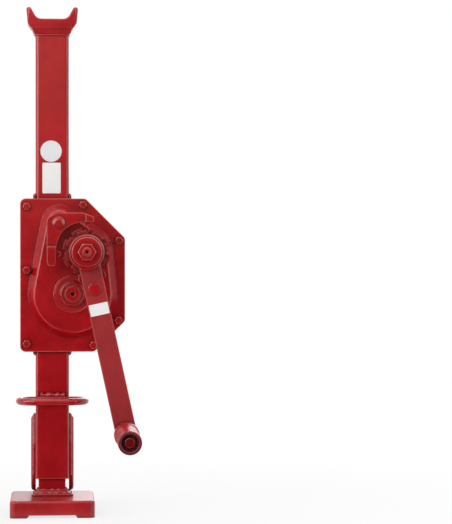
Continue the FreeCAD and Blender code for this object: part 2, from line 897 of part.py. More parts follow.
loop(
    drawn,
    [
        (S.claw_cheek_front - 20, claw_belly - 20),
        (S.claw_tip - S.claw_plate, claw_belly - 20),
        (S.claw_tip - S.claw_plate, S.claw_toe - S.claw_plate, 7.0),
        (back_in, S.claw_toe - S.claw_plate, 2.0),
        (back_in, S.claw_top + 20),
        (S.claw_cheek_front - 20, S.claw_top + 20),
    ],
)
pocket(claw, drawn, channel * 2)
drawn = sketch(claw, "taper", "XZ_Plane", half_deep + 1)
taper_in = half_claw - S.claw_taper_wide
taper_low = S.claw_top - S.claw_taper_high
loop(drawn, [(taper_in, S.claw_top + 1), (half_claw + 1, taper_low), (half_claw + 1, S.claw_top + 1)])
loop(drawn, [(-half_claw - 1, S.claw_top + 1), (-half_claw - 1, taper_low), (-taper_in, S.claw_top + 1)])
pocket(claw, drawn, half_deep + S.claw_back + 6)
drawn = sketch(claw, "groove", "YZ_Plane", half_claw + 1)
loop(
    drawn,
    [
        (S.groove_first - S.groove_half, S.claw_toe + 0.2),
        (S.groove_first, S.claw_toe - S.groove_deep),
        (S.groove_first + S.groove_half, S.claw_toe + 0.2),
    ],
)
cut = pocket(claw, drawn, S.claw_wide + 2)
repeat_along(claw, cut, drawn, "H_Axis", S.groove_pitch, S.groove_count)

# carry ring, a bar bent into a flat loop
carry = piece("carry_ring")
bar_r = S.ring_bar / 2
ring_x = S.ring_wide / 2 - bar_r
ring_back = -half_deep - bar_r
ring_front = ring_back - S.ring_deep + S.ring_bar
bend_r = (ring_back - ring_front) / 2
path = sketch(carry, "path", at=S.ring_high)
tiny = 0.02
loop(
    path,
    [
        (0.0, ring_back),
        (-ring_x, ring_back, bend_r - tiny),
        (-ring_x, ring_front, bend_r - tiny),
        (ring_x, ring_front, bend_r - tiny),
        (ring_x, ring_back, bend_r - tiny),
    ],
)
section = sketch(carry, "bar", "YZ_Plane")
ring(section, ring_back, S.ring_high, bar_r)
pipe = carry.newObject("PartDesign::AdditivePipe", "carry_ring_pipe")
pipe.Profile = section
pipe.Spine = (path, [])
path.Visibility = False
section.Visibility = False


def case_outline(drawn, inset, rounding, left=None):
    """The gear case's six-sided outline, drawn smaller by an inset, or from a left edge of its own."""
    inset = as_size(inset)
    left = left or case_left + inset
    right = case_right - inset
    low = case_low + inset
    high = case_high - inset
    slant = 2.0 - math.sqrt(2.0)
    cut_low = S.case_cut_low - inset * slant
    cut_high = S.case_cut_high - inset * slant
    loop(
        drawn,
        [
            (left, low, rounding),
            (right - cut_low, low, rounding),
            (right, low + cut_low, rounding),
            (right, high - cut_high, rounding),
            (right - cut_high, high, rounding),
            (left, high, rounding),
        ],
    )


# rear half of the gear case: a pan with a bolting flange and two necks round the tube
case = piece("rear_case")
pan_deep = plate_back - pan_back
neck_x = half_wide + S.neck_wall
drawn = sketch(case, "pan", at=pan_back)
case_outline(drawn, S.flange_wide, S.pan_corner, -neck_x)
pad(case, drawn, pan_deep)
soften(case, at_level(pan_back), S.pan_edge)
drawn = sketch(case, "neck", at=pan_back)
box(drawn, -neck_x, case_low - S.neck_under, neck_x, case_high + S.neck_over)
pad(case, drawn, pan_deep)
soften(
    case,
    lambda e: near(e.BoundBox.ZMin, pan_back)
    and near(e.BoundBox.ZMax, pan_back)
    and near(e.BoundBox.XMin, e.BoundBox.XMax)
    and near(abs(e.BoundBox.XMin), neck_x),
    S.pan_edge,
)
drawn = sketch(case, "flange", at=plate_back - S.flange_thick)
case_outline(drawn, 0.0, S.case_corner)
pad(case, drawn, S.flange_thick)
drawn = sketch(case, "cavity", at=plate_back + 1)
case_outline(drawn, S.flange_wide + S.pan_wall, S.pan_corner - S.pan_wall, S.pan_wall - neck_x)
pocket(case, drawn, plate_back * 2 + 1)
drawn = sketch(case, "channel", at=plate_back + 1)
box(drawn, -channel, case_low - 20, channel, case_high + 20)
pocket(case, drawn, plate_back * 2 + 1 + S.fit_gap)
drawn = sketch(case, "bearings", at=1 - plate_back)
ring(drawn, S.crank_x, S.crank_z, crank_bush_r + S.fit_gap)
ring(drawn, S.pinion_x, pinion_z, pinion_bush_r + S.fit_gap)
pocket(case, drawn, S.pan_wall + 2)
drawn = sketch(case, "threads", at=plate_back + 1)
for bolt_x, bolt_z in bolt_spots:
    ring(drawn, bolt_x, bolt_z, S.bolt_thread / 2 + S.fit_gap)
pocket(case, drawn, S.flange_thick + 2)
place(case, front_frame())


def dome_circles(inset):
    """The three circles that the dome's outline is stretched round."""
    inset = as_size(inset)
    return [
        (S.pinion_x, pinion_z, dome_r_low - inset),
        (S.crank_x, S.crank_z, S.dome_r_crank - inset),
        (hold_x + S.dome_pawl_dx, hold_z + S.dome_pawl_dz, S.dome_r_pawl - inset),
    ]


# front cover: a plate with a pressed dome over the gears
cover = piece("front_cover")
drawn = sketch(cover, "plate", at=plate_back)
case_outline(drawn, 0.0, S.case_corner)
pad(cover, drawn, S.cover_thick)
low = sketch(cover, "dome_low", at=plate_front)
hull(low, dome_circles(0.0))
high = sketch(cover, "dome_high", at=dome_front)
hull(high, dome_circles(S.dome_slope))
dome = cover.newObject("PartDesign::AdditiveLoft", "front_cover_dome")
dome.Profile = low
dome.Sections = [high]
dome.Ruled = True
soften(cover, at_level(dome_front), S.dome_edge)
low = sketch(cover, "hollow_low", at=plate_back - 0.5)
hull(low, dome_circles(S.dome_wall))
high = sketch(cover, "hollow_high", at=dome_front - S.dome_wall)
hull(high, dome_circles(S.dome_slope + S.dome_wall))
hollow = cover.newObject("PartDesign::SubtractiveLoft", "front_cover_hollow")
hollow.Profile = low
hollow.Sections = [high]
hollow.Ruled = True
drawn = sketch(cover, "bearings", at=dome_front + 1)
ring(drawn, S.crank_x, S.crank_z, crank_bush_r + S.fit_gap)
ring(drawn, S.pinion_x, pinion_z, pinion_bush_r + S.fit_gap)
pocket(cover, drawn, S.dome_wall + 3)
drawn = sketch(cover, "bolt_holes", at=plate_front + 1)
for bolt_x, bolt_z in bolt_spots:
    ring(drawn, bolt_x, bolt_z, S.bolt_thread / 2 + S.fit_gap)
pocket(cover, drawn, S.cover_thick + 2)
place(cover, front_frame())

# cover bolts, one drawn and set at seven places
bolt = doc.addObject("PartDesign::Body", "bolt_master")
drawn = sketch(bolt, "head", at=plate_front)
hexagon(drawn, S.bolt_flat)
pad(bolt, drawn, S.bolt_head)
drawn = sketch(bolt, "bevel", "XZ_Plane")
bolt_corner = S.bolt_flat / math.sqrt(3.0)
bolt_top = plate_front + S.bolt_head
loop(
    drawn,
    [
        (bolt_corner + 1, bolt_top - 1.0),
        (bolt_corner + 1, bolt_top + 1),
        (S.bolt_flat / 2 - 0.6, bolt_top + 1),
        (S.bolt_flat / 2 - 0.6, bolt_top),
    ],
)
bevel = feature(bolt, "Groove", drawn, "bevel")
bevel.ReferenceAxis = (drawn, ["V_Axis"])
bevel.Angle = 360.0
drawn = sketch(bolt, "shank", at=plate_back - S.flange_thick + 0.2)
ring(drawn, 0.0, 0.0, S.bolt_thread / 2)
pad(bolt, drawn, plate_front - plate_back + S.flange_thick - 0.2)
doc.recompute()
bolts = doc.addObject("Part::Feature", "cover_bolts")
bolts.Label = "cover_bolts"
bolt_shapes = []
for bolt_x, bolt_z in bolt_spots:
    shape = bolt.Shape.copy()
    shape.Placement = FreeCAD.Placement(V(bolt_x.value, bolt_z.value, 0), FreeCAD.Rotation())
    bolt_shapes.append(shape)
bolts.Shape = Part.makeCompound(bolt_shapes)
bolts.Placement = front_frame()
nodes.append(bolts)

# bosses and bushes of the two shafts
boss_end = pan_back - S.crank_boss_long
made = turned(
    "crank_rear_boss",
    [
        (crank_bush_r + S.fit_gap, pan_back),
        (crank_bush_r + S.fit_gap, boss_end),
        (crank_boss_r, boss_end, S.boss_edge),
        (crank_boss_r, pan_back),
    ],
)
place(made, front_frame(S.crank_x, S.crank_z), S.crank_x, S.crank_z)
made = sleeve("crank_rear_bush", S.crank_shaft_r + S.run_gap, crank_bush_r, boss_end + 1, -bush_inner)
place(made, front_frame(S.crank_x, S.crank_z), S.crank_x, S.crank_z)
boss_end = pan_back - S.pinion_boss_long
made = turned(
    "pinion_rear_boss",
    [
        (pinion_bush_r + S.fit_gap, pan_back),
        (pinion_bush_r + S.fit_gap, boss_end),
        (pinion_boss_r, boss_end, S.boss_edge),
        (pinion_boss_r, pan_back - S.pinion_collar_long, S.boss_edge),
        (pinion_collar_top_r, pan_back - S.pinion_collar_long, S.boss_edge / 2),
        (pinion_collar_r, pan_back),
    ],
)
place(made, front_frame(S.pinion_x, pinion_z), S.pinion_x, pinion_z)
made = sleeve("pinion_rear_bush", S.pinion_shaft_r + S.run_gap, pinion_bush_r, boss_end + 1, -bush_inner)
place(made, front_frame(S.pinion_x, pinion_z), S.pinion_x, pinion_z)
boss_end = dome_front + S.crank_boss_front_long
made = turned(
    "crank_front_boss",
    [
        (crank_bush_r + S.fit_gap, dome_front),
        (crank_boss_front_r, dome_front),
        (crank_boss_front_r - S.boss_edge, boss_end, S.boss_edge / 2),
        (crank_bush_r + S.fit_gap, boss_end),
    ],
)
place(made, front_frame(S.crank_x, S.crank_z), S.crank_x, S.crank_z)
made = sleeve("crank_front_bush", S.crank_shaft_r + S.run_gap, crank_bush_r, bush_start, boss_end)
place(made, front_frame(S.crank_x, S.crank_z), S.crank_x, S.crank_z)
boss_end = dome_front + S.pinion_boss_front_long
step_end = dome_front + S.pinion_step_long
made = turned(
    "pinion_front_boss",
    [
        (pinion_bush_r + S.fit_gap, dome_front),
        (pinion_step_r, dome_front),
        (pinion_step_r - 1, step_end, 0.5),
        (pinion_boss_front_r, step_end, S.boss_edge / 2),
        (pinion_boss_front_r, boss_end, S.boss_edge),
        (pinion_bush_r + S.fit_gap, boss_end),
    ],
)
place(made, front_frame(S.pinion_x, pinion_z), S.pinion_x, pinion_z)
made = sleeve(
    "pinion_front_bush", S.pinion_shaft_r + S.run_gap, pinion_bush_r, pinion_bush_start, boss_end - 1
)
place(made, front_frame(S.pinion_x, pinion_z), S.pinion_x, pinion_z)

# hex post and bolt that carry the holding pawl
post = piece("pawl_post")
drawn = sketch(post, "hex", at=dome_front)
hexagon(drawn, S.hold_post_flat)
pad(post, drawn, hold_start - S.side_gap - dome_front)
drawn = sketch(post, "journal", at=dome_front)
ring(drawn, 0.0, 0.0, S.hold_post_r)
journal_end = hold_end + S.side_gap
pad(post, drawn, journal_end - dome_front)
drawn = sketch(post, "thread", at=journal_end)
ring(drawn, 0.0, 0.0, S.hold_bolt_thread / 2 + S.fit_gap)
pocket(post, drawn, S.hold_bolt_long + 2)
place(post, front_frame(hold_x, hold_z), hold_x, hold_z)
head_end = journal_end + S.hold_bolt_high
made = turned(
    "pawl_bolt",
    [
        (0.0, journal_end - S.hold_bolt_long),
        (S.hold_bolt_thread / 2, journal_end - S.hold_bolt_long),
        (S.hold_bolt_thread / 2, journal_end),
        (S.hold_bolt_r, journal_end),
        (S.hold_bolt_r, journal_end + S.hold_bolt_high * 0.45, 1.2),
        (S.hold_bolt_r * 0.5, head_end, 4.0),
        (0.0, head_end),
    ],
)
place(made, front_frame(hold_x, hold_z), hold_x, hold_z)


def involute(angle):
    """The involute of an angle in radians."""
    return math.tan(angle) - angle


def toothed_face(teeth, module, pressure, tip, foot_r, thick, first):
    """The outline face of a spur gear; first is the angle of one tooth in degrees."""
    teeth = int(round(teeth))
    pitch_r = module * teeth / 2
    base = pitch_r * math.cos(math.radians(pressure))
    half = thick / (2 * pitch_r)
    start = max(base, foot_r)
    steps = [start + (tip - start) * (i / 5.0) ** 1.5 for i in range(6)]
    edges = []

    def flank(radius):
        """Half of a tooth's angle at a radius."""
        return half + involute(math.radians(pressure)) - involute(math.acos(min(1.0, base / radius)))

    def at(radius, angle):
        """A point by radius and angle."""
        return V(radius * math.cos(angle), radius * math.sin(angle), 0)

    for n in range(teeth):
        mid = math.radians(first) + 2 * math.pi * n / teeth
        up = [at(r, mid - flank(r)) for r in steps]
        down = [at(r, mid + flank(r)) for r in reversed(steps)]
        root_in = at(foot_r, mid - flank(start))
        root_out = at(foot_r, mid + flank(start))
        next_in = at(foot_r, mid + 2 * math.pi / teeth - flank(start))
        if base > foot_r:
            edges.append(Part.makeLine(root_in, up[0]))
        curve = Part.BSplineCurve()
        curve.interpolate(up)
        edges.append(curve.toShape())
        edges.append(Part.Arc(up[-1], at(tip, mid), down[0]).toShape())
        curve = Part.BSplineCurve()
        curve.interpolate(down)
        edges.append(curve.toShape())
        if base > foot_r:
            edges.append(Part.makeLine(down[-1], root_out))
        edges.append(Part.Arc(root_out, at(foot_r, mid + math.pi / teeth), next_in).toShape())
    return Part.Face(Part.Wire(edges))


def turned_shape(corners):
    """A solid turned round z from (radius, z) numbers."""
    points = [V(r, 0, z) for r, z in corners]
    wire = Part.makePolygon(points + [points[0]])
    return Part.Face(wire).revolve(V(0, 0, 0), V(0, 0, 1), 360)


def shaped(label, shape, placement):
    """A node whose shape no sketch gives."""
    made = doc.addObject("Part::Feature", label)
    made.Label = label
    made.Shape = shape.removeSplitter()
    made.Placement = placement
    nodes.append(made)
    return made


# rack pinion with its shaft; a tooth points at the rack
mesh_angle = math.degrees(math.atan2(S.crank_z.value - pinion_z.value, S.crank_x.value - S.pinion_x.value))
pinion_root = (pinion_pitch_r - S.rack_tip_out - S.rack_root_gap).value
half_face = (S.rack_deep / 2 + S.rack_pinion_over).value
face = toothed_face(
    S.rack_pinion_teeth.value,
    S.rack_module.value,
    S.tooth_angle.value,
    pinion_tip_r.value,
    pinion_root,
    (pitch * S.rack_pinion_share).value,
    180.0,
)
face.translate(V(0, 0, -half_face))
shape = face.extrude(V(0, 0, 2 * half_face))
journal = S.pinion_shaft_r.value
seat = S.pinion_seat_r.value
rear = (pan_back - S.pinion_boss_long + S.pinion_shaft_short).value
front = (dome_front + S.pinion_boss_front_long + S.pinion_shaft_over).value
gear_low = gear_start.value
gear_high = gear_low + S.gear_wide.value
bevel = S.shaft_bevel.value
hole = S.center_hole.value
rear_shoulder = -half_face - 0.2
shape = shape.fuse(
    turned_shape(
        [
            (0, rear),
            (journal - bevel, rear),
            (journal, rear + bevel),
            (journal, rear_shoulder),
            (pinion_root, rear_shoulder),
            (pinion_root, -rear_shoulder),
            (journal, -rear_shoulder),
            (journal, gear_low - 2),
            (seat, gear_low - 2),
            (seat, gear_high),
            (journal, gear_high),
            (journal, front - bevel),
            (journal - bevel, front),
            (hole * 1.4, front),
            (hole, front - bevel),
            (hole, front - 6),
            (0, front - 7.5),
        ]
    )
)
key_x = S.key_wide.value / 2
key_low = seat - S.key_in_shaft.value
key_high = key_low + S.key_high.value
slot = Part.makeBox(2 * key_x, seat, gear_high - gear_low - 1, V(-key_x, key_low, gear_low + 0.5))
shaped("pinion_shaft", shape.cut(slot), front_frame(S.pinion_x, pinion_z))

# drive gear on the same shaft, a gap between two teeth faces the crank shaft
gear_pitch_r = S.gear_module.value * S.gear_big_teeth.value / 2
gear_thick = S.gear_module.value * math.pi / 2 - S.gear_backlash.value / 2
gear_tip = gear_pitch_r + S.gear_big_tip_out.value
gear_root = gear_pitch_r - S.gear_small_tip_out.value - S.gear_root_gap.value
face = toothed_face(
    S.gear_big_teeth.value,
    S.gear_module.value,
    S.tooth_angle.value,
    gear_tip,
    gear_root,
    gear_thick,
    mesh_angle + 180.0 / S.gear_big_teeth.value,
)
face.translate(V(0, 0, gear_low))
shape = face.extrude(V(0, 0, gear_high - gear_low))
shape = shape.cut(Part.makeCylinder(seat + S.fit_gap.value, 60, V(0, 0, gear_low - 5)))
slot = Part.makeBox(2 * key_x, key_high + S.fit_gap.value, 60, V(-key_x, 0, gear_low - 5))
shape = shape.cut(slot)
web_in = S.gear_web_inner.value
web_out = S.gear_web_outer.value
web = S.gear_web_deep.value
for level in (gear_low, gear_high - web):
    dish = Part.makeCylinder(web_out, web, V(0, 0, level)).cut(Part.makeCylinder(web_in, web, V(0, 0, level)))
    shape = shape.cut(dish)
shaped("drive_gear", shape, front_frame(S.pinion_x, pinion_z))

key = piece("gear_key")
drawn = sketch(key, "outline", at=gear_start + 0.7)
key_foot = S.pinion_seat_r - S.key_in_shaft
box(drawn, -S.key_wide / 2, key_foot, S.key_wide / 2, key_foot + S.key_high)
pad(key, drawn, S.gear_wide - 1.4)
place(key, front_frame(S.pinion_x, pinion_z), S.pinion_x, pinion_z)

made = sleeve(
    "gear_ring",
    S.pinion_shaft_r + S.fit_gap,
    S.pinion_shaft_r + S.ring_out,
    gear_start + S.gear_wide,
    gear_start + S.gear_wide + S.ring_thick,
)
place(made, front_frame(S.pinion_x, pinion_z), S.pinion_x, pinion_z)

# crank shaft with its small pinion; a tooth points at the drive gear
small_pitch_r = S.gear_module.value * S.gear_small_teeth.value / 2
small_tip = small_pitch_r + S.gear_small_tip_out.value
small_root = small_pitch_r - S.gear_big_tip_out.value - S.gear_root_gap.value
face = toothed_face(
    S.gear_small_teeth.value,
    S.gear_module.value,
    S.tooth_angle.value,
    small_tip,
    small_root,
    gear_thick,
    mesh_angle + 180.0,
)
face.translate(V(0, 0, gear_low - 0.5))
shape = face.extrude(V(0, 0, gear_high - gear_low + 1))
body_r = S.crank_shaft_r.value
relief_r = min(body_r, small_root)
seat_r = S.crank_seat_r.value
stud_r = S.crank_stud_r.value
rear = (pan_back - S.crank_boss_long - S.crank_shaft_over).value
front = crank_shaft_front.value
seat_start = drive_wheel_end.value
stud_start = end_collar_end.value - 1
shape = shape.fuse(
    turned_shape(
        [
            (0, rear),
            (body_r - bevel, rear),
            (body_r, rear + bevel),
            (body_r, gear_low - 2),
            (relief_r, gear_low - 2),
            (relief_r, gear_high + 1),
            (body_r, gear_high + 1),
            (body_r, seat_start),
            (seat_r, seat_start),
            (seat_r, stud_start),
            (stud_r, stud_start),
            (stud_r, front - bevel),
            (stud_r - bevel, front),
            (hole * 1.2, front),
            (hole * 0.8, front - bevel),
            (hole * 0.8, front - 5),
            (0, front - 6),
        ]
    )
)
shaped("crank_shaft", shape, front_frame(S.crank_x, S.crank_z))


def stacked(label, bore, outer, low, high):
    """A sleeve on the crank shaft."""
    made = sleeve(label, bore, outer, low, high)
    place(made, front_frame(S.crank_x, S.crank_z), S.crank_x, S.crank_z)
    return made


def ratchet(label, low, high, tip, foot_r, gap_low, gap_high, turn):
    """A wheel with even-sided ratchet teeth; turn is the angle of one gap from straight up."""
    body = piece(label)
    drawn = sketch(body, "disc", at=low)
    ring(drawn, 0.0, 0.0, tip)
    ring(drawn, 0.0, 0.0, S.crank_shaft_r + S.fit_gap)
    pad(body, drawn, high - low)
    drawn = sketch(body, "gap", at=high + 1)
    grow = (gap_high - gap_low) / (tip - foot_r)
    wide = gap_high + grow * 2
    loop(
        drawn,
        [
            (-gap_low / 2, foot_r, 0.8),
            (gap_low / 2, foot_r, 0.8),
            (wide / 2, tip + 2),
            (-wide / 2, tip + 2),
        ],
    )
    cut = pocket(body, drawn, high - low + 2)
    repeat_round(body, cut, drawn, S.wheel_teeth)
    place(body, front_frame(S.crank_x, S.crank_z, turn), S.crank_x, S.crank_z)
    return body


# collars, ratchet wheels and nut on the crank shaft
stacked("lock_collar", S.crank_shaft_r + S.fit_gap, S.collar_r, collar_start, collar_end)
ratchet(
    "holding_ratchet",
    hold_wheel_start,
    hold_wheel_end,
    S.hold_wheel_tip,
    S.hold_wheel_root,
    S.hold_gap_low,
    S.hold_gap_high,
    S.hold_wheel_turn,
)
stacked("friction_disc", S.crank_shaft_r + S.fit_gap, S.friction_r, hold_wheel_end, drive_wheel_start)
ratchet(
    "drive_ratchet",
    drive_wheel_start,
    drive_wheel_end,
    S.drive_wheel_tip,
    S.drive_wheel_root,
    S.drive_gap_low,
    S.drive_gap_high,
    S.arm_turn + as_size(180.0) / S.wheel_teeth,
)
made = turned(
    "end_collar",
    [
        (S.crank_seat_r + S.fit_gap, end_collar_start),
        (S.end_collar_r, end_collar_start),
        (S.end_collar_r, end_collar_end, S.boss_edge),
        (S.crank_seat_r + S.fit_gap, end_collar_end),
    ],
)
place(made, front_frame(S.crank_x, S.crank_z), S.crank_x, S.crank_z)
nut = piece("crank_nut")
drawn = sketch(nut, "hex", at=end_collar_end)
hexagon(drawn, S.nut_flat)
ring(drawn, 0.0, 0.0, S.crank_stud_r + S.fit_gap)
pad(nut, drawn, nut_end - end_collar_end)
nut_corner = S.nut_flat / math.sqrt(3.0)
for tag, level, way in (("front", nut_end, 1.0), ("back", end_collar_end, -1.0)):
    drawn = sketch(nut, "bevel_" + tag, "XZ_Plane")
    corners = [
        (S.nut_flat / 2 - 0.3, level),
        (nut_corner + 1, level - way * 1.7),
        (nut_corner + 1, level + way),
        (S.nut_flat / 2 - 0.3, level + way),
    ]
    loop(drawn, corners if way > 0 else corners[::-1])
    bevel_cut = feature(nut, "Groove", drawn, "bevel")
    bevel_cut.ReferenceAxis = (drawn, ["V_Axis"])
    bevel_cut.Angle = 360.0
place(nut, front_frame(S.crank_x, S.crank_z), S.crank_x, S.crank_z)

# crank hub, its bush and the flat arm
hub_bore = S.crank_seat_r + S.run_gap + S.hub_bush_wall
made = turned(
    "crank_hub",
    [
        (hub_bore + S.fit_gap, hub_start),
        (S.hub_r, hub_start),
        (S.hub_r, hub_end, S.hub_bevel),
        (hub_bore + S.fit_gap, hub_end),
    ],
)
place(made, crank_frame(), S.crank_x, S.crank_z)
made = sleeve("hub_bush", S.crank_seat_r + S.run_gap, hub_bore, hub_start, hub_end)
place(made, crank_frame(), S.crank_x, S.crank_z)
arm = piece("crank_arm")
drawn = sketch(arm, "bar", at=arm_start)
arm_x = S.arm_wide / 2
arm_tip = -S.arm_reach - S.arm_tip_over
loop(
    drawn,
    [
        (-arm_x, arm_tip, arm_x - 0.5),
        (arm_x, arm_tip, arm_x - 0.5),
        (arm_x, -S.hub_r / 2),
        (-arm_x, -S.hub_r / 2),
    ],
)
pad(arm, drawn, arm_end - arm_start)
soften(arm, lambda e: at_level(arm_start)(e) or at_level(arm_end)(e), S.arm_edge)
drawn = sketch(arm, "holes", at=arm_end + 1)
ring(drawn, 0.0, 0.0, S.hub_r + S.fit_gap)
ring(drawn, 0.0, -S.pawl_reach, S.pawl_pin_r + S.fit_gap)
ring(drawn, 0.0, -S.arm_reach, S.spindle_r + S.fit_gap)
pocket(arm, drawn, arm_end - arm_start + 2)
place(arm, crank_frame(), S.crank_x, S.crank_z)


def on_crank(made, x, y):
    """Puts a piece turned round z at a spot of the crank's own frame."""
    made.Placement = crank_frame().multiply(FreeCAD.Placement(V(x, y.value, 0), FreeCAD.Rotation()))


# grip spindle, riveted behind the arm and headed inside the grip's end
grip_floor = grip_end - S.grip_recess
head_low = grip_floor + S.side_gap
head_high = head_low + S.grip_head_long
made = turned(
    "handle_spindle",
    [
        (0.0, arm_start - S.rivet_high),
        (S.rivet_r * 0.5, arm_start - S.rivet_high, 5.0),
        (S.rivet_r, arm_start - S.rivet_high * 0.35, 1.0),
        (S.rivet_r, arm_start),
        (S.spindle_r, arm_start),
        (S.spindle_r, head_low),
        (S.grip_head_r, head_low),
        (S.grip_head_r, head_high, 1.2),
        (0.0, head_high),
    ],
)
on_crank(made, 0, -S.arm_reach)

# ribbed grip
grip_low = arm_end + S.side_gap
wave = grip_low + S.grip_collar_long
grip_bore = S.spindle_r + S.run_gap * 1.6
corners = [
    (grip_bore, grip_low),
    (S.grip_collar_r, grip_low, 1.5),
    (S.grip_collar_r, wave - 1.5, 2.0),
]
for n in range(5):
    valley = wave + S.grip_pitch * (n + 0.3)
    ridge = wave + S.grip_pitch * (n + 0.8)
    corners.append((S.grip_valley_r, valley, 9.0))
    corners.append((S.grip_ridge_r, ridge, 9.0))
corners += [
    (S.grip_ridge_r - 0.3, grip_end, 2.0),
    (S.grip_recess_r, grip_end, 0.8),
    (S.grip_recess_r, grip_floor),
    (grip_bore, grip_floor),
]
made = turned("handle_grip", corners)
on_crank(made, 0, -S.arm_reach)

# crank pawl, reversible, with two noses and a pointed tail
pawl = piece("crank_pawl")
drawn = sketch(pawl, "outline", at=pawl_start)
loop(
    drawn,
    [
        (-1.2, -S.pawl_tail),
        (1.2, -S.pawl_tail),
        (7.5, -S.pawl_reach - 7.5, 2.0),
        (9.8, -S.pawl_reach, 6.0),
        (9.8, -S.pawl_reach + 7, 4.0),
        (19.9, -S.pawl_reach + 15.4, 3.0),
        (18.2, -S.pawl_reach + 23.7, 0.8),
        (14.5, -S.pawl_reach + 25.1, 0.8),
        (11.1, -S.pawl_reach + 18.4, 2.0),
        (-11.1, -S.pawl_reach + 18.4, 2.0),
        (-14.5, -S.pawl_reach + 25.1, 0.8),
        (-18.2, -S.pawl_reach + 23.7, 0.8),
        (-19.9, -S.pawl_reach + 15.4, 3.0),
        (-9.8, -S.pawl_reach + 7, 4.0),
        (-9.8, -S.pawl_reach, 6.0),
        (-7.5, -S.pawl_reach - 7.5, 2.0),
    ],
)
pad(pawl, drawn, pawl_end - pawl_start)
drawn = sketch(pawl, "hole", at=pawl_end + 1)
ring(drawn, 0.0, -S.pawl_reach, S.pawl_pin_r + S.run_gap)
pocket(pawl, drawn, pawl_end - pawl_start + 2)
place(pawl, crank_frame(), S.crank_x, S.crank_z)
made = turned(
    "pawl_pin",
    [
        (0.0, pawl_pin_back),
        (S.pawl_pin_rivet_r, pawl_pin_back, 0.6),
        (S.pawl_pin_rivet_r, pawl_start - S.pin_gap),
        (S.pawl_pin_r, pawl_start - S.pin_gap),
        (S.pawl_pin_r, arm_end),
        (S.pawl_pin_head_r, arm_end),
        (S.pawl_pin_head_r, arm_end + S.pawl_pin_head, S.pawl_pin_head * 0.6),
        (0.0, arm_end + S.pawl_pin_head),
    ],
)
on_crank(made, 0, -S.pawl_reach)
made = sleeve("pawl_washer", S.pawl_pin_r + S.fit_gap, S.pawl_pin_head_r, pawl_end + 0.2, arm_start)
on_crank(made, 0, -S.pawl_reach)


def along_arm(made):
    """Puts a piece drawn along z so that z runs down the arm from the crank's axis."""
    turn = FreeCAD.Placement(V(0, 0, detent_axis.value), FreeCAD.Rotation(V(1, 0, 0), 90))
    made.Placement = crank_frame().multiply(turn)


# sprung detent on the back of the arm
housing = piece("detent_housing")
drawn = sketch(housing, "barrel", at=S.detent_start)
ring(drawn, 0.0, 0.0, S.detent_r)
pad(housing, drawn, S.detent_end - S.detent_start)
drawn = sketch(housing, "lug", at=S.detent_start + 1)
box(drawn, -S.detent_lug / 2, 0.0, S.detent_lug / 2, arm_start - detent_axis)
pad(housing, drawn, S.detent_end - S.detent_start - 2)
drawn = sketch(housing, "bore", at=S.detent_end + 1)
ring(drawn, 0.0, 0.0, S.detent_bore_r)
pocket(housing, drawn, S.detent_end - S.detent_start + 2)
along_arm(housing)
plunger_r = S.detent_bore_r - S.run_gap
made = turned(
    "detent_plunger",
    [
        (0.0, S.plunger_tip),
        (1.0, S.plunger_tip),
        (S.plunger_flange_r, S.plunger_cone_end),
        (S.plunger_flange_r, S.plunger_flange_end),
        (plunger_r, S.plunger_flange_end),
        (plunger_r, S.plunger_end),
        (0.0, S.plunger_end),
    ],
)
along_arm(made)
plug_low = S.detent_end - S.plug_in
made = turned(
    "detent_plug",
    [
        (0.0, plug_low),
        (plunger_r, plug_low),
        (plunger_r, S.detent_end),
        (S.detent_r, S.detent_end),
        (S.detent_r, S.detent_end + S.plug_out, 1.2),
        (0.0, S.detent_end + S.plug_out),
    ],
)
along_arm(made)
spring_low = S.plunger_end.value + S.spring_wire.value / 2
spring_high = plug_low.value - S.spring_wire.value / 2
spring_pitch = (spring_high - spring_low) / S.spring_turns.value
coil = Part.makeHelix(spring_pitch, spring_high - spring_low, S.spring_r.value)
coil.translate(V(0, 0, spring_low))
wire_ring = Part.Wire(Part.makeCircle(S.spring_wire.value / 2, V(S.spring_r.value, 0, spring_low), V(0, 1, 0)))
shape = Part.Wire(coil.Edges).makePipeShell([wire_ring], True, True)
spring = doc.addObject("Part::Feature", "detent_spring")
spring.Label = "detent_spring"
spring.Shape = shape
along_arm(spring)
nodes.append(spring)

# holding pawl, an anchor with a pallet on each arm, and its bush
hold = piece("holding_pawl")
drawn = sketch(hold, "outline", at=hold_start)
loop(
    drawn,
    [
        (-15.0, -61.0, 3.0),
        (-4.4, -61.0, 3.0),
        (-3.4, -49.8, 2.0),
        (3.4, -45.6, 0.8),
        (3.6, -41.4, 0.8),
        (-3.0, -38.0, 0.6),
        (-3.0, 1.0, 37.0),
        (35.4, 1.0, 0.6),
        (36.8, -5.4, 0.8),
        (40.4, -5.6, 0.8),
        (43.6, 0.6, 2.0),
        (50.5, 1.6, 2.5),
        (50.5, 9.5, 4.0),
        (34.0, 15.0, 12.0),
        (-3.0, 15.0, 8.0),
        (-17.0, 7.0, 9.0),
        (-17.0, -54.0, 4.0),
    ],
)
pad(hold, drawn, hold_end - hold_start)
drawn = sketch(hold, "pallet_left", at=hold_start)
loop(
    drawn,
    [
        (-14.7, -60.6, 2.6),
        (-4.8, -60.6, 2.6),
        (-3.7, -49.4, 2.0),
        (-3.4, -33.0),
        (-16.7, -33.0),
        (-16.7, -54.0, 3.8),
    ],
)
pad(hold, drawn, hold_pad_end - hold_start)
drawn = sketch(hold, "pallet_right", at=hold_start)
loop(
    drawn,
    [
        (38.0, 1.4),
        (43.4, 1.0, 2.0),
        (50.1, 1.9, 2.2),
        (50.1, 9.3, 3.6),
        (38.0, 13.2),
    ],
)
pad(hold, drawn, hold_pad_end - hold_start)
drawn = sketch(hold, "hole", at=hold_end + 1)
hold_bush_r = S.hold_post_r + S.run_gap + S.hold_bush_wall
ring(drawn, 0.0, 0.0, hold_bush_r + S.fit_gap)
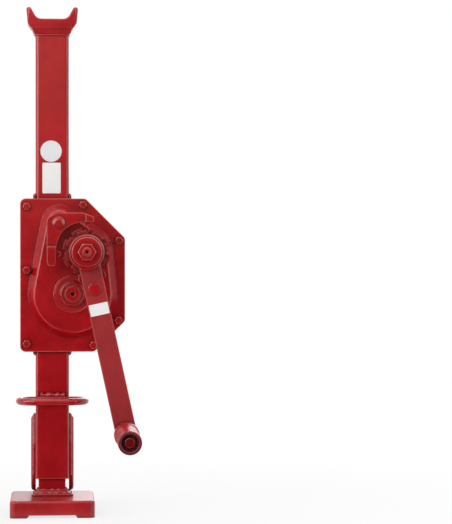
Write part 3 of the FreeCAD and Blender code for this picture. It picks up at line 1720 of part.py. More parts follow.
pocket(hold, drawn, hold_end - hold_start + 2)
place(hold, front_frame(hold_x, hold_z), hold_x, hold_z)
made = sleeve("pawl_bush", S.hold_post_r + S.run_gap, hold_bush_r, hold_start, hold_end)
place(made, front_frame(hold_x, hold_z), hold_x, hold_z)

doc.recompute()
bad = [item.Label for item in doc.Objects if "Invalid" in item.State or "Error" in item.State]
if bad:
    raise ValueError("not built: " + ", ".join(bad))
os.makedirs("parts", exist_ok=True)
for node in nodes:
    shape = node.Shape
    if shape.isNull() or not shape.isValid() or not shape.Solids:
        raise ValueError("bad shape: " + node.Label)
    shape.exportStep("parts/%s.step" % node.Label)
    print("%-18s solids %d volume %.0f" % (node.Label, len(shape.Solids), shape.Volume))
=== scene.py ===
import json
import math

import bmesh
import bpy
from bpy.props import FloatProperty, FloatVectorProperty, IntProperty, PointerProperty
from mathutils import Matrix, Quaternion, Vector


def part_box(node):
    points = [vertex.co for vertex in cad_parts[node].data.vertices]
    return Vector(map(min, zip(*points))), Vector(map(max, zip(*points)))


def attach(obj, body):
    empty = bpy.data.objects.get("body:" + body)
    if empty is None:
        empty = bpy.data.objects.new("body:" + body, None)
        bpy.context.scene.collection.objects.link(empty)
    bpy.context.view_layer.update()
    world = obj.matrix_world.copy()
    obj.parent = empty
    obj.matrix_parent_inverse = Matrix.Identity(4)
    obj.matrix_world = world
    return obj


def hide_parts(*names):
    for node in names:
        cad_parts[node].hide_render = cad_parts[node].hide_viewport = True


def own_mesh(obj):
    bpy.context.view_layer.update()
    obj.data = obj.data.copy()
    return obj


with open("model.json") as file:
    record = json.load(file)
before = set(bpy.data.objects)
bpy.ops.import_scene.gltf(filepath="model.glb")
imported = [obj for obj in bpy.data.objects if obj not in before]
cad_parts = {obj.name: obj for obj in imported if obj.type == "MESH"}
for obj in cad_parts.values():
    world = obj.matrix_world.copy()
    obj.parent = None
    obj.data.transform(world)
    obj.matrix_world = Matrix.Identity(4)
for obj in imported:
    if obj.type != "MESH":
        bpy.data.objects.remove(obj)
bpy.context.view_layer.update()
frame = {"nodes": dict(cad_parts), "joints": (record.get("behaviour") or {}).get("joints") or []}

bl_info = {
    "name": "Rack and pinion jack",
    "version": (1, 0, 0),
    "blender": (4, 5, 0),
    "location": "View3D > Sidebar > Jack",
    "description": "Enamel, weld beads, detent spring, blank plates and studio for a rack jack",
    "category": "Object",
}

NODES = frame["nodes"]
JOINTS = {joint["name"]: joint for joint in frame["joints"]}
CRANK_AXIS = Vector(JOINTS["shaft_spin"]["pos_m"])
PINION_AXIS = Vector(JOINTS["pinion_spin"]["pos_m"])
GRIP_AXIS = Vector(JOINTS["grip_spin"]["pos_m"])
ARM_LINE = (GRIP_AXIS - CRANK_AXIS).normalized()
ARM_LEAN = math.atan2(ARM_LINE.x, -ARM_LINE.z)
UP = Vector((0.0, 0.0, 1.0))
WHITE = (1.0, 1.0, 1.0, 1.0)

# enamel by the surface under it: the CAD nodes, and how lumps, gloss, edge softness and painted
# edge highlight differ there
ENAMELS = {
    "enamel_on_rolled_steel": (
        ["shaft_tube", "rear_case", "carry_ring", "rack", "friction_disc", "crank_hub",
         "end_collar", "pawl_washer"],
        dict(lump_scale=38.0, lump_height=0.35)),
    "enamel_on_pressing": (
        ["front_cover"],
        dict(lump_scale=60.0, lump_height=0.9, coat=0.4, edge=1.5, rim=1.0)),
    "enamel_on_flat_bar": (
        ["crank_arm"],
        dict(lump_scale=38.0, lump_height=0.35, dark=0.18, low=0.46, high=0.58, coat=0.1)),
    "enamel_on_forging": (
        ["rack_weld", "holding_pawl", "crank_pawl", "detent_housing", "pawl_post"],
        dict(lump_scale=85.0, lump_height=1.0, dark=0.05, bump=0.5, edge=1.8)),
    "enamel_on_flanges": (
        ["crank_rear_boss", "pinion_rear_boss", "crank_front_boss", "pinion_front_boss",
         "pawl_pin"],
        dict(lump_scale=85.0, lump_height=1.0, dark=0.05, bump=0.5, edge=1.8, rim=0.08)),
    "enamel_on_lifting_ends": (
        ["horn_head", "lifting_claw"],
        dict(lump_scale=70.0, lump_height=1.0, bump=0.5, low=0.28, high=0.4, edge=2.2)),
    "enamel_on_foot": (
        ["foot_plate"],
        dict(lump_scale=70.0, lump_height=1.2, bump=0.6, low=0.24, high=0.36, coat=0.12,
             edge=2.0)),
    "enamel_on_fasteners": (
        ["cover_bolts", "pawl_bolt", "crank_nut"],
        dict(lump_scale=190.0, lump_height=0.6, dark=0.1)),
    "enamel_on_grip": (
        ["handle_grip"],
        dict(lump_scale=50.0, lump_height=0.3, bump=0.25, low=0.3, high=0.42, coat=0.0)),
    "enamel_on_spindle": (
        ["handle_spindle"],
        dict(lump_scale=150.0, lump_height=0.5, dark=0.6)),
    "enamel_on_ratchets": (
        ["holding_ratchet", "drive_ratchet"],
        dict(lump_scale=140.0, lump_height=0.8, dark=0.2, bump=0.4, low=0.24, high=0.4,
             rim=0.15)),
    "enamel_on_shaft_ends": (
        ["pinion_shaft", "crank_shaft", "crank_rear_bush", "pinion_rear_bush",
         "crank_front_bush", "pinion_front_bush"],
        dict(lump_scale=150.0, lump_height=0.5, dark=0.12)),
}
# the welds get less painted shade in their corners, and a faint painted highlight on their edges
WELD_ENAMEL = dict(lump_scale=260.0, lump_height=0.8, corner_shade=0.3, rim=0.2)

# bare metal: the CAD nodes, the colours and the scale of the tool marks
BARE_METALS = {
    "machined_steel": (
        ["drive_gear", "gear_key", "gear_ring", "detent_spring", "detent_plunger"],
        {"Light": (0.62, 0.61, 0.6, 1), "Dark": (0.36, 0.35, 0.34, 1), "Scale": 420.0}),
    "turned_bronze": (
        ["hub_bush", "pawl_bush"],
        {"Light": (0.72, 0.5, 0.22, 1), "Dark": (0.45, 0.28, 0.1, 1), "Scale": 380.0}),
}
OILED_IRON = {"Lump Scale": 140.0, "Lump Height": 0.8, "Gloss Low": 0.3, "Gloss High": 0.45}
BLACK_CAP = {"Bright": (0.03, 0.03, 0.03, 1), "Deep": (0.012, 0.012, 0.012, 1),
             "Lump Scale": 300.0, "Lump Height": 0.4, "Gloss Low": 0.4, "Gloss High": 0.55}
IRON_DEEP = 0.5                 # how dark the iron's hollows are
TOOL_STRETCH = (0.12, 3.0, 0.12)
COAT_ROUGHNESS = 0.06
ENAMEL_DEPTH = 0.0012           # height of the tallest lumps
PEEL_HEIGHT = 0.06              # fine orange peel, against the lumps
POOL_SHARE = 0.45               # how much of the colour follows the lumps
CLOUD_SHARE = 0.55              # and how much follows the wide drift
SHADE_REACH = 0.009             # how far the painted shade reaches out of a corner
EDGE_SAMPLES = 6                # rays of one edge or corner look-up
END_TONE_INNER = 0.0022            # where the grip's darker end starts, from its outer end
END_TONE_OUTER = 0.0006            # and where it is full
COLOUR_A, COLOUR_B = 6, 7       # a Mix node's colour inputs
COLOUR_RESULT = 2               # and its colour output

# weld beads: size against the set radius, how rough the ripple is, how tall the lumps are
WELDS = {
    "head_seam_bead": (0.7, 1.0, 0.0),
    "ring_bead": (1.5, 1.0, 0.34),
    "claw_cheek_beads": (1.15, 0.3, 0.0),
    "claw_back_bead": (1.0, 1.0, 0.0),
    "case_neck_beads": (0.8, 1.0, 0.0),
    "foot_weld_low": (0.9, 0.8, 0.28),
    "foot_weld_high": (0.9, 0.8, 0.28),
    "boss_beads": (0.7, 1.0, 0.0),
    "hub_bead": (1.0, 1.0, 0.0),
}
RIPPLE_STEPS = 3                # steps along a bead for one ripple
RIPPLE_WAVES = ((0.10, 2.1, 0.0), (0.05, 0.73, 1.3))  # height, pace and shift
LUMP_PACE = 0.82
LUMP_DRIFT = 0.9
LUMP_DRIFT_PACE = 0.31
BEAD_SIDES = 10
BEAD_TAPER = 0.45               # size of an open bead's two ends
TUBE_CORNER = 0.005
RING_BEAD_ENDS = (-0.0172, 0.0182)  # in X
RING_BEAD_HEIGHTS = (1.25, -0.8)    # from the ring's middle, in radii of its bar
RING_BEAD_PROUD = 0.0009
CHEEK_PROUD = 0.0016
CHEEK_FOOT = 0.004              # above the tube's lower end
CHEEK_FRONT = (-0.0058, 0.099)  # Y of the upright seam, and Z of its top
CHEEK_SLOPE = ((-0.0046, 0.1050), (0.0088, 0.1385))  # Y and Z of the sloped seam's ends
CLAW_BACK_HALF = 0.021
CLAW_BACK_PROUD = 0.0008
NECK_BACK_HALF = 0.020
NECK_PROUD = 0.0006
NECK_FRONT_GAP = 0.004
NECK_BACK_GAP = 0.003
FOOT_WELD_INSET = Vector((0.0060, 0.0040, 0.0))
FOOT_WELD_CORNER = 0.004
RACK_CORNER = 0.002
HUB_BEAD_PROUD = 0.0006
HUB_BEAD_HALF = 0.62            # radians to each side of the arm

# spring and plates
SPRING_STEPS = 24               # steps in one turn
WIRE_SIDES = 10
DISC_SIDES = 64
DISC_X = -0.0017
CARD_X = -0.0010
CARD_CORNER = 0.0012
TAG_CORNER = 0.0010
PLATE_EDGE = 0.4                # soft edge, in thicknesses

# set
FLOOR_SIZE = 6.0
FLAG_SIDES = 48
FLAG_LIFT = 0.02                # gap under the cloth round the set
RUG_GAP = 0.13                  # from the jack's axis to the cloth on the floor
RUG_LIFT = 0.002
SENSOR = 36.0
FAR_CLIP = 60.0


class EnamelSettings(bpy.types.PropertyGroup):
    """Colours of the jack's paint and iron and of its painted edge highlight, and how soft its
    edges are.
    """

    bright: FloatVectorProperty(
        name="Bright red", description="Paint where it lies thick and clean",
        subtype="COLOR", size=4, default=(0.42, 0.003, 0.008, 1.0))
    deep: FloatVectorProperty(
        name="Deep red", description="Paint where it pools in hollows",
        subtype="COLOR", size=4, default=(0.27, 0.0008, 0.004, 1.0))
    soot: FloatVectorProperty(
        name="Oiled iron", description="Dark metal of the lock collar",
        subtype="COLOR", size=4, default=(0.09, 0.008, 0.008, 1.0))
    grip_end_tone: FloatVectorProperty(
        name="Grip end tone", description="Dull paint on the grip's end",
        subtype="COLOR", size=4, default=(0.15, 0.008, 0.016, 1.0))
    # painted highlight: the paler colour that convex edges are given
    rim: FloatVectorProperty(
        name="Painted edge highlight", description="Paler colour painted on convex edges as a highlight",
        subtype="COLOR", size=4, default=(0.62, 0.11, 0.085, 1.0))
    edge: FloatProperty(
        name="Edge softness", description="Radius of the paint over a sharp edge",
        unit="LENGTH", default=0.0013, min=0.0)


class BeadSettings(bpy.types.PropertyGroup):
    """Sizes of the weld beads."""

    seam: FloatProperty(
        name="Seam bead", description="Radius of the beads along seams",
        unit="LENGTH", default=0.0024, min=0.0005)
    boss: FloatProperty(
        name="Boss bead", description="Radius of the beads round the bearing bosses",
        unit="LENGTH", default=0.0020, min=0.0005)
    pitch: FloatProperty(
        name="Ripple", description="Distance between two ripples of a bead",
        unit="LENGTH", default=0.0042, min=0.001)


class PlateSettings(bpy.types.PropertyGroup):
    """Sizes of the blank plates."""

    disc_r: FloatProperty(
        name="Disc radius", description="Radius of the round plate on the tube",
        unit="LENGTH", default=0.0153, min=0.001)
    disc_z: FloatProperty(
        name="Disc height", description="Height of the round plate above the floor",
        unit="LENGTH", default=0.520)
    card_wide: FloatProperty(
        name="Card width", description="Width of the upright plate on the tube",
        unit="LENGTH", default=0.0262, min=0.001)
    card_high: FloatProperty(
        name="Card height", description="Height of the upright plate on the tube",
        unit="LENGTH", default=0.0440, min=0.001)
    card_z: FloatProperty(
        name="Card place", description="Height of the upright plate's middle above the floor",
        unit="LENGTH", default=0.4815)
    tag_long: FloatProperty(
        name="Tag length", description="Length of the tag along the crank arm",
        unit="LENGTH", default=0.0165, min=0.001)
    tag_wide: FloatProperty(
        name="Tag width", description="Width of the tag across the crank arm",
        unit="LENGTH", default=0.0270, min=0.001)
    tag_reach: FloatProperty(
        name="Tag place", description="Distance of the tag from the crank's axis",
        unit="LENGTH", default=0.0820)
    thick: FloatProperty(
        name="Thickness", description="Thickness of the plates",
        unit="LENGTH", default=0.0004, min=0.0001)


class SpringSettings(bpy.types.PropertyGroup):
    """Sizes of the detent's spring."""

    wire: FloatProperty(
        name="Wire", description="Radius of the spring's wire",
        unit="LENGTH", default=0.00045, min=0.0001)
    turns: IntProperty(
        name="Turns", description="Turns of the spring", default=5, min=1)


class StudioSettings(bpy.types.PropertyGroup):
    """Camera and light."""

    lens: FloatProperty(
        name="Lens", description="Focal length in millimetres", default=155.1, min=10.0)
    away: FloatProperty(
        name="Distance", description="Camera to the tube's axis", unit="LENGTH", default=3.27)
    eye: FloatProperty(
        name="Eye height", description="Camera above the floor", unit="LENGTH", default=0.375)
    turn: FloatProperty(
        name="Turn", description="How far the camera looks past the jack",
        subtype="ANGLE", default=math.radians(4.40))
    nod: FloatProperty(
        name="Nod", description="How far the camera looks down",
        subtype="ANGLE", default=math.radians(0.25))
    ambient: FloatProperty(
        name="Ambient", description="Strength of the light from all round", default=0.35)
    key: FloatProperty(
        name="Key", description="Power of the large lamp", default=33.0)
    fill: FloatProperty(
        name="Fill", description="Power of the lamp on the right and of the one above",
        default=14.0)
    side: FloatProperty(
        name="Side", description="Power of the long lamp on the jack's left", default=14.0)
    back: FloatProperty(
        name="Back", description="Power of the lamp behind the jack", default=22.0)
    flag_r: FloatProperty(
        name="Flag distance", description="Radius of the dark cloth round the set",
        unit="LENGTH", default=4.2)
    flag_back: FloatProperty(
        name="Flag opening", description="How far back the dark cloth reaches",
        unit="LENGTH", default=-1.0)
    flag_side: FloatProperty(
        name="Flag lean", description="How much further back the cloth reaches on the right",
        default=0.3)
    flag_glow: FloatProperty(
        name="Flag top", description="How pale the cloth is near its upper edge", default=0.62)
    flag_tint: FloatVectorProperty(
        name="Flag colour", description="Colour of the dark cloth",
        subtype="COLOR", size=4, default=(1.0, 0.84, 0.66, 1.0))
    flag_high: FloatProperty(
        name="Flag height", description="Height of the dark cloth round the set",
        unit="LENGTH", default=2.6)


class JackSettings(bpy.types.PropertyGroup):
    """All settings of the jack's pieces."""

    enamel: PointerProperty(name="Enamel", description="Paint of the jack", type=EnamelSettings)
    beads: PointerProperty(name="Beads", description="Weld beads", type=BeadSettings)
    plates: PointerProperty(name="Plates", description="Blank plates", type=PlateSettings)
    spring: PointerProperty(name="Spring", description="Spring of the detent", type=SpringSettings)
    studio: PointerProperty(name="Studio", description="Camera and light", type=StudioSettings)


def settings():
    """The scene's own settings of this add-on."""
    return bpy.context.scene.jack


def feed(tree, socket, value):
    """Links a socket to another one, or sets it to a plain value."""
    if isinstance(value, bpy.types.NodeSocket):
        tree.links.new(value, socket)
    else:
        socket.default_value = value


def put(tree, kind, x=0, y=0, **values):
    """Adds a node, and gives its sockets and properties their values by name."""
    made = tree.nodes.new(kind)
    made.location = (x, y)
    for name, value in values.items():
        label = name.replace("_", " ").title()
        if label in made.inputs:
            feed(tree, made.inputs[label], value)
        else:
            setattr(made, name, value)
    return made


def maths(tree, x, y, operation, *values):
    """Adds a math node that works on values in order, and returns its result."""
    made = put(tree, "ShaderNodeMath", x, y, operation=operation)
    for socket, value in zip(made.inputs, values):
        feed(tree, socket, value)
    return made.outputs[0]


def remap(tree, x, y, value, start=0.0, end=1.0, low=0.0, high=1.0):
    """Adds a node that turns start to end into low to high, and returns its result."""
    made = put(tree, "ShaderNodeMapRange", x, y, value=value, from_min=start, from_max=end,
               to_min=low, to_max=high)
    return made.outputs["Result"]


def mix_colours(tree, x, y, share, first, second):
    """Adds a node that goes from the first colour to the second, and returns the mix."""
    made = put(tree, "ShaderNodeMix", x, y, data_type="RGBA", factor=share)
    feed(tree, made.inputs[COLOUR_A], first)
    feed(tree, made.inputs[COLOUR_B], second)
    return made.outputs[COLOUR_RESULT]


def blank_tree(owner):
    """The emptied node tree of a material or a world."""
    owner.use_nodes = True
    owner.node_tree.nodes.clear()
    return owner.node_tree


def finish_group(name, takes):
    """A node group for a finish, with the sockets of what it is given and of what it gives."""
    tree = bpy.data.node_groups.new(name, "ShaderNodeTree")
    for label, value in takes.items():
        kind = "NodeSocketFloat" if isinstance(value, float) else "NodeSocketColor"
        made = tree.interface.new_socket(name=label, in_out="INPUT", socket_type=kind)
        made.default_value = value
    for label, kind in (("Color", "NodeSocketColor"), ("Roughness", "NodeSocketFloat"),
                        ("Height", "NodeSocketFloat")):
        tree.interface.new_socket(name=label, in_out="OUTPUT", socket_type=kind)
    return tree, tree.nodes.new("NodeGroupInput").outputs, tree.nodes.new("NodeGroupOutput").inputs


def enamel_group():
    """Thick brushed enamel: pooled colour, uneven gloss, lumps and fine orange peel, with painted
    shade in the corners and a painted highlight, a paler colour, over the convex edges."""
    name = "enamel_skin"
    if name in bpy.data.node_groups:
        return bpy.data.node_groups[name]
    tree, given, gives = finish_group(name, {
        "Bright": (0.4, 0.01, 0.01, 1), "Deep": (0.2, 0.0, 0.0, 1),
        "Lump Scale": 60.0, "Lump Height": 0.5, "Gloss Low": 0.2, "Gloss High": 0.34,
        "Painted Shade": (0.04, 0.002, 0.004, 1), "Painted Shade Amount": 0.85,
        "Rim Highlight": (0.6, 0.1, 0.08, 1), "Rim Highlight Amount": 0.0, "Rim Highlight Radius": 0.0018})
    place = put(tree, "ShaderNodeTexCoord", -900).outputs["Object"]
    lumps = put(tree, "ShaderNodeTexNoise", -700, 200, vector=place, scale=given["Lump Scale"],
                detail=3.0, roughness=0.55).outputs["Fac"]
    peel = put(tree, "ShaderNodeTexNoise", -700, -100, vector=place, scale=620.0,
               detail=2.0).outputs["Fac"]
    drift = put(tree, "ShaderNodeTexNoise", -700, -400, vector=place, scale=11.0, detail=4.0,
                roughness=0.6).outputs["Fac"]

    pool = remap(tree, -450, 200, lumps, start=0.34, end=0.62)
    cloud = remap(tree, -450, -400, drift, start=0.3, end=0.7)
    half = maths(tree, -350, -200, "MULTIPLY", cloud, CLOUD_SHARE)
    both = maths(tree, -250, 100, "MULTIPLY_ADD", pool, POOL_SHARE, half)
    tint = mix_colours(tree, -50, 250, both, given["Deep"], given["Bright"])
    gloss = remap(tree, -50, -50, drift, low=given["Gloss Low"], high=given["Gloss High"])
    rise = maths(tree, -250, -100, "MULTIPLY", lumps, given["Lump Height"])
    skin = maths(tree, -50, -250, "MULTIPLY_ADD", peel, PEEL_HEIGHT, rise)

    # painted shade: ambient occlusion darkens the colour towards a near-black red in corners,
    # creases and recesses
    hollow = put(tree, "ShaderNodeAmbientOcclusion", -250, 500, samples=EDGE_SAMPLES,
                 distance=SHADE_REACH)
    depth = remap(tree, -50, 500, hollow.outputs["AO"], start=0.85, end=0.40)
    painted_shade = maths(tree, 100, 500, "MULTIPLY", depth, given["Painted Shade Amount"])
    # painted highlight: ambient occlusion from inside finds convex edges, and the colour turns
    # paler there, except where painted shade lies
    bulk = put(tree, "ShaderNodeAmbientOcclusion", -250, 800, samples=EDGE_SAMPLES, inside=True,
               only_local=True, distance=given["Rim Highlight Radius"])
    crest = remap(tree, -50, 800, bulk.outputs["AO"], start=0.95, end=0.62)
    clear = maths(tree, 100, 650, "SUBTRACT", 1.0, depth)
    highlight_mask = maths(tree, 100, 800, "MULTIPLY", crest, clear)
    highlight_share = maths(tree, 250, 800, "MULTIPLY", highlight_mask, given["Rim Highlight Amount"])
    highlighted = mix_colours(tree, 250, 600, highlight_share, tint, given["Rim Highlight"])
    shaded_colour = mix_colours(tree, 450, 300, painted_shade, highlighted, given["Painted Shade"])

    feed(tree, gives["Color"], shaded_colour)
    feed(tree, gives["Roughness"], gloss)
    feed(tree, gives["Height"], skin)
    return tree


def turned_group():
    """Fine tool marks: colour, gloss and height from stretched noise."""
    name = "tool_marks"
    if name in bpy.data.node_groups:
        return bpy.data.node_groups[name]
    tree, given, gives = finish_group(name, {
        "Light": (0.6, 0.6, 0.6, 1), "Dark": (0.3, 0.3, 0.3, 1), "Scale": 300.0})
    place = put(tree, "ShaderNodeTexCoord", -700).outputs["Object"]
    stretch = put(tree, "ShaderNodeMapping", -500, vector=place, scale=TOOL_STRETCH)
    marks = put(tree, "ShaderNodeTexNoise", -300, vector=stretch.outputs["Vector"],
                scale=given["Scale"], detail=5.0, roughness=0.7).outputs["Fac"]
    feed(tree, gives["Color"], mix_colours(tree, 0, 200, marks, given["Dark"], given["Light"]))
    feed(tree, gives["Roughness"], remap(tree, 0, 0, marks, low=0.24, high=0.5))
    feed(tree, gives["Height"], marks)
    return tree


def finish_material(name, group, values, metallic=0.0, specular=0.5, coat=0.0, bump=0.2,
                    depth=0.0006, edge=None):
    """A material whose colour, gloss and relief come from a group."""
    made = bpy.data.materials.new(name)
    tree = blank_tree(made)
    skin = put(tree, "ShaderNodeGroup", -500, node_tree=group)
    for label, value in values.items():
        skin.inputs[label].default_value = value
    relief = put(tree, "ShaderNodeBump", -250, -250, strength=bump, distance=depth,
                 height=skin.outputs["Height"])
    if edge:
        soft = put(tree, "ShaderNodeBevel", -500, -350, samples=EDGE_SAMPLES, radius=edge)
        feed(tree, relief.inputs["Normal"], soft.outputs["Normal"])
    shader = put(tree, "ShaderNodeBsdfPrincipled", 0, metallic=metallic, coat_weight=coat,
                 coat_roughness=COAT_ROUGHNESS, base_color=skin.outputs["Color"],
                 roughness=skin.outputs["Roughness"], normal=relief.outputs["Normal"])
    shader.inputs["Specular IOR Level"].default_value = specular
    put(tree, "ShaderNodeOutputMaterial", 300, surface=shader.outputs["BSDF"])
    return made


def enamel(name, lump_scale, lump_height, dark=0.0, bump=0.35, low=0.14, high=0.25, coat=0.25,
           edge=1.0, corner_shade=0.85, rim=0.7):
    """The jack's red enamel over one kind of surface, darker all over by a given share, with
    painted shade in its corners and a painted highlight on its edges.
    """
    if name in bpy.data.materials:
        return bpy.data.materials[name]
    s = settings().enamel
    shade = [1.0 - dark] * 3 + [1.0]
    values = {"Bright": [a * b for a, b in zip(s.bright, shade)],
              "Deep": [a * b for a, b in zip(s.deep, shade)],
              "Lump Scale": lump_scale, "Lump Height": lump_height,
              "Gloss Low": low, "Gloss High": high, "Painted Shade Amount": corner_shade,
              "Rim Highlight": list(s.rim), "Rim Highlight Amount": rim}
    return finish_material(name, enamel_group(), values, coat=coat, bump=bump,
                           depth=ENAMEL_DEPTH, edge=s.edge * edge)


def darken_grip_end(material, colour):
    """Dulls a finish on the outer end of the grip."""
    tree = material.node_tree
    skin = next(node for node in tree.nodes if node.type == "GROUP")
    shader = next(node for node in tree.nodes if node.type == "BSDF_PRINCIPLED")
    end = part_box("handle_grip")[0].y
    place = put(tree, "ShaderNodeTexCoord", -900, 300)
    parts = put(tree, "ShaderNodeSeparateXYZ", -700, 300, vector=place.outputs["Object"])
    reach = remap(tree, -500, 300, parts.outputs["Y"], start=end + END_TONE_INNER,
                  end=end + END_TONE_OUTER)
    toned_end = mix_colours(tree, -250, 200, reach, skin.outputs["Color"], colour)
    feed(tree, shader.inputs["Base Color"], toned_end)


def dress(nodes, material):
    """Gives CAD nodes a finish."""
    for name in nodes:
        held = NODES[name]
        held.data.materials.clear()
        held.data.materials.append(material)


def make_object(bm, name, material):
    """Turns a bmesh into an object in the scene."""
    mesh = bpy.data.meshes.new(name)
    bm.to_mesh(mesh)
    bm.free()
    mesh.materials.append(material)
    made = bpy.data.objects.new(name, mesh)
    bpy.context.scene.collection.objects.link(made)
    return made


def keep(bm, name, material, body, smooth=True):
    """Turns a bmesh into a piece that rides on a body."""
    bmesh.ops.remove_doubles(bm, verts=bm.verts, dist=1e-6)
    bmesh.ops.recalc_face_normals(bm, faces=bm.faces)
    piece = make_object(bm, name, material)
    for face in piece.data.polygons:
        face.use_smooth = smooth
    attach(piece, body)
    return piece


def ripple(step, rough, lump):
    """How much a bead swells at one of its steps."""
    fine = sum(height * math.sin(step * pace + shift) for height, pace, shift in RIPPLE_WAVES)
    drift = LUMP_DRIFT * math.sin(step * LUMP_DRIFT_PACE)
    return 1.0 + rough * fine + lump * math.sin(step * LUMP_PACE + drift)


def draw_bead(bm, points, radius, closed, rough, lump):
    """Draws a rippled bead in an empty bmesh, pulling a ring from each point to the next."""
    count = len(points)
    bmesh.ops.create_circle(bm, segments=BEAD_SIDES, radius=radius)
    ring, edges = bm.verts[:], bm.edges[:]
    first = edges
    old = Matrix.Identity(4)
    turn = Quaternion()
    course = UP
    for i, point in enumerate(points):
        ahead = points[(i + 1) % count] if closed or i + 1 < count else point
        behind = points[i - 1] if closed or i else point
        along = (ahead - behind).normalized()
        turn = course.rotation_difference(along) @ turn
        course = along
        swell = ripple(i, rough, lump)
        if not closed and i in (0, count - 1):
            swell *= BEAD_TAPER
        new = Matrix.LocRotScale(point, turn, Vector((swell, swell, swell)))
        if i:
            pulled = bmesh.ops.extrude_edge_only(bm, edges=edges)["geom"]
            ring = [v for v in pulled if isinstance(v, bmesh.types.BMVert)]
            edges = [e for e in pulled if isinstance(e, bmesh.types.BMEdge)
                     and e.verts[0] in ring and e.verts[1] in ring]
        bmesh.ops.transform(bm, matrix=new @ old.inverted(), verts=ring)
        old = new
    if closed:
        bmesh.ops.bridge_loops(bm, edges=first + edges)
    else:
        bmesh.ops.holes_fill(bm, edges=first, sides=0)
        bmesh.ops.holes_fill(bm, edges=edges, sides=0)


def beads(name, paths, radius, body):
    """Several beads as one piece. A path is its points and whether it closes."""
    size, rough, lump = WELDS[name]
    bm = bmesh.new()
    for points, closed in paths:
        one = bmesh.new()
        draw_bead(one, points, radius * size, closed, rough, lump)
        held = bpy.data.meshes.new("bead")
        one.to_mesh(held)
        one.free()
        bm.from_mesh(held)
        bpy.data.meshes.remove(held)
    keep(bm, name, enamel("enamel_on_weld", **WELD_ENAMEL), body)


def straight(a, b, step):
    """Points from a to b at about a given step."""
    a = Vector(a)
    b = Vector(b)
    count = max(2, int((b - a).length / step))
    return [a.lerp(b, i / count) for i in range(count + 1)]


def crosswise(low, high, y, z, step):
    """Points along X at a given Y and Z."""
    return straight((low, y, z), (high, y, z), step)


def arc(centre, radius, low, high, step):
    """Points on a circle square to Y, between two angles counted from the crank arm's line."""
    count = max(4, int(radius * abs(high - low) / step))
    spots = []
    for i in range(count + 1):
        angle = ARM_LEAN + low + (high - low) * i / count
        spots.append(Vector((centre.x + radius * math.sin(angle), centre.y,
                             centre.z - radius * math.cos(angle))))
    return spots


def rounded_face(bm, wide, long, corner, segments, middle=(0.0, 0.0, 0.0)):
    """One face in XY with rounded corners."""
    bmesh.ops.create_grid(bm, x_segments=1, y_segments=1, size=0.5)
    bmesh.ops.scale(bm, vec=(wide, long, 1.0), verts=bm.verts)
    bmesh.ops.translate(bm, vec=middle, verts=bm.verts)
    bmesh.ops.bevel(bm, geom=list(bm.verts), offset=corner, segments=segments, profile=0.5,
                    affect="VERTICES", material=-1)


def round_rectangle(lo, hi, z, corner, step):
    """Points round a rectangle with rounded corners, made from one bevelled face."""
    bm = bmesh.new()
    rounded_face(bm, hi.x - lo.x, hi.y - lo.y, corner, segments=5,
                 middle=((lo.x + hi.x) / 2, (lo.y + hi.y) / 2, z))
    for edge in list(bm.edges):
        cuts = int(edge.calc_length() / step) - 1
        if cuts > 0:
            bmesh.ops.subdivide_edges(bm, edges=[edge], cuts=cuts)
    bm.faces.ensure_lookup_table()
    points = [loop.vert.co.copy() for loop in bm.faces[0].loops]
    bm.free()
    return points


def raise_plate(bm, thick):
    """Gives a flat face its thickness and a soft edge."""
    face = bm.faces[:][0]
    lifted = bmesh.ops.extrude_face_region(bm, geom=[face])["geom"]
    verts = [v for v in lifted if isinstance(v, bmesh.types.BMVert)]
    bmesh.ops.translate(bm, vec=(0.0, 0.0, thick), verts=verts)
    top = [f for f in lifted if isinstance(f, bmesh.types.BMFace)]
    rim = list({e for f in top for e in f.edges})
    bmesh.ops.bevel(bm, geom=rim, offset=thick * PLATE_EDGE, segments=2, profile=0.5,
                    affect="EDGES", material=-1)


def fit_plate(bm, name, material, body, place):
    """Stands a flat plate up to face the front, and sets it in its place."""
    face = Matrix.Rotation(math.radians(90.0), 4, "X")
    bmesh.ops.transform(bm, matrix=place @ face, verts=bm.verts)
    keep(bm, name, material, body, smooth=False)


def foil(name, light, dark, scale):
    """Plate stock: pale, a little uneven, with fine rolling marks."""
    values = {"Light": light, "Dark": dark, "Scale": scale}
    return finish_material(name, turned_group(), values, specular=0.4, bump=0.05, depth=0.0002)


class JACK_OT_enamel(bpy.types.Operator):
    """Paints the jack, and gives its bare pieces their metal"""

    bl_idname = "jack.enamel"
    bl_label = "Paint the jack"

    def execute(self, context):
        s = settings().enamel
        for name, (nodes, values) in ENAMELS.items():
            dress(nodes, enamel(name, **values))
        darken_grip_end(bpy.data.materials["enamel_on_grip"], s.grip_end_tone)
        for name, (nodes, values) in BARE_METALS.items():
            dress(nodes, finish_material(name, turned_group(), values, metallic=1.0, bump=0.1))
        iron = dict(OILED_IRON, Bright=list(s.soot), Deep=[IRON_DEEP * part for part in s.soot])
        dress(["lock_collar"], finish_material("oiled_iron", enamel_group(), iron, bump=0.4,
                                               depth=0.001, edge=s.edge))
        dress(["detent_plug"], finish_material("black_cap", enamel_group(), BLACK_CAP, bump=0.2,
                                               edge=s.edge))
        return {"FINISHED"}


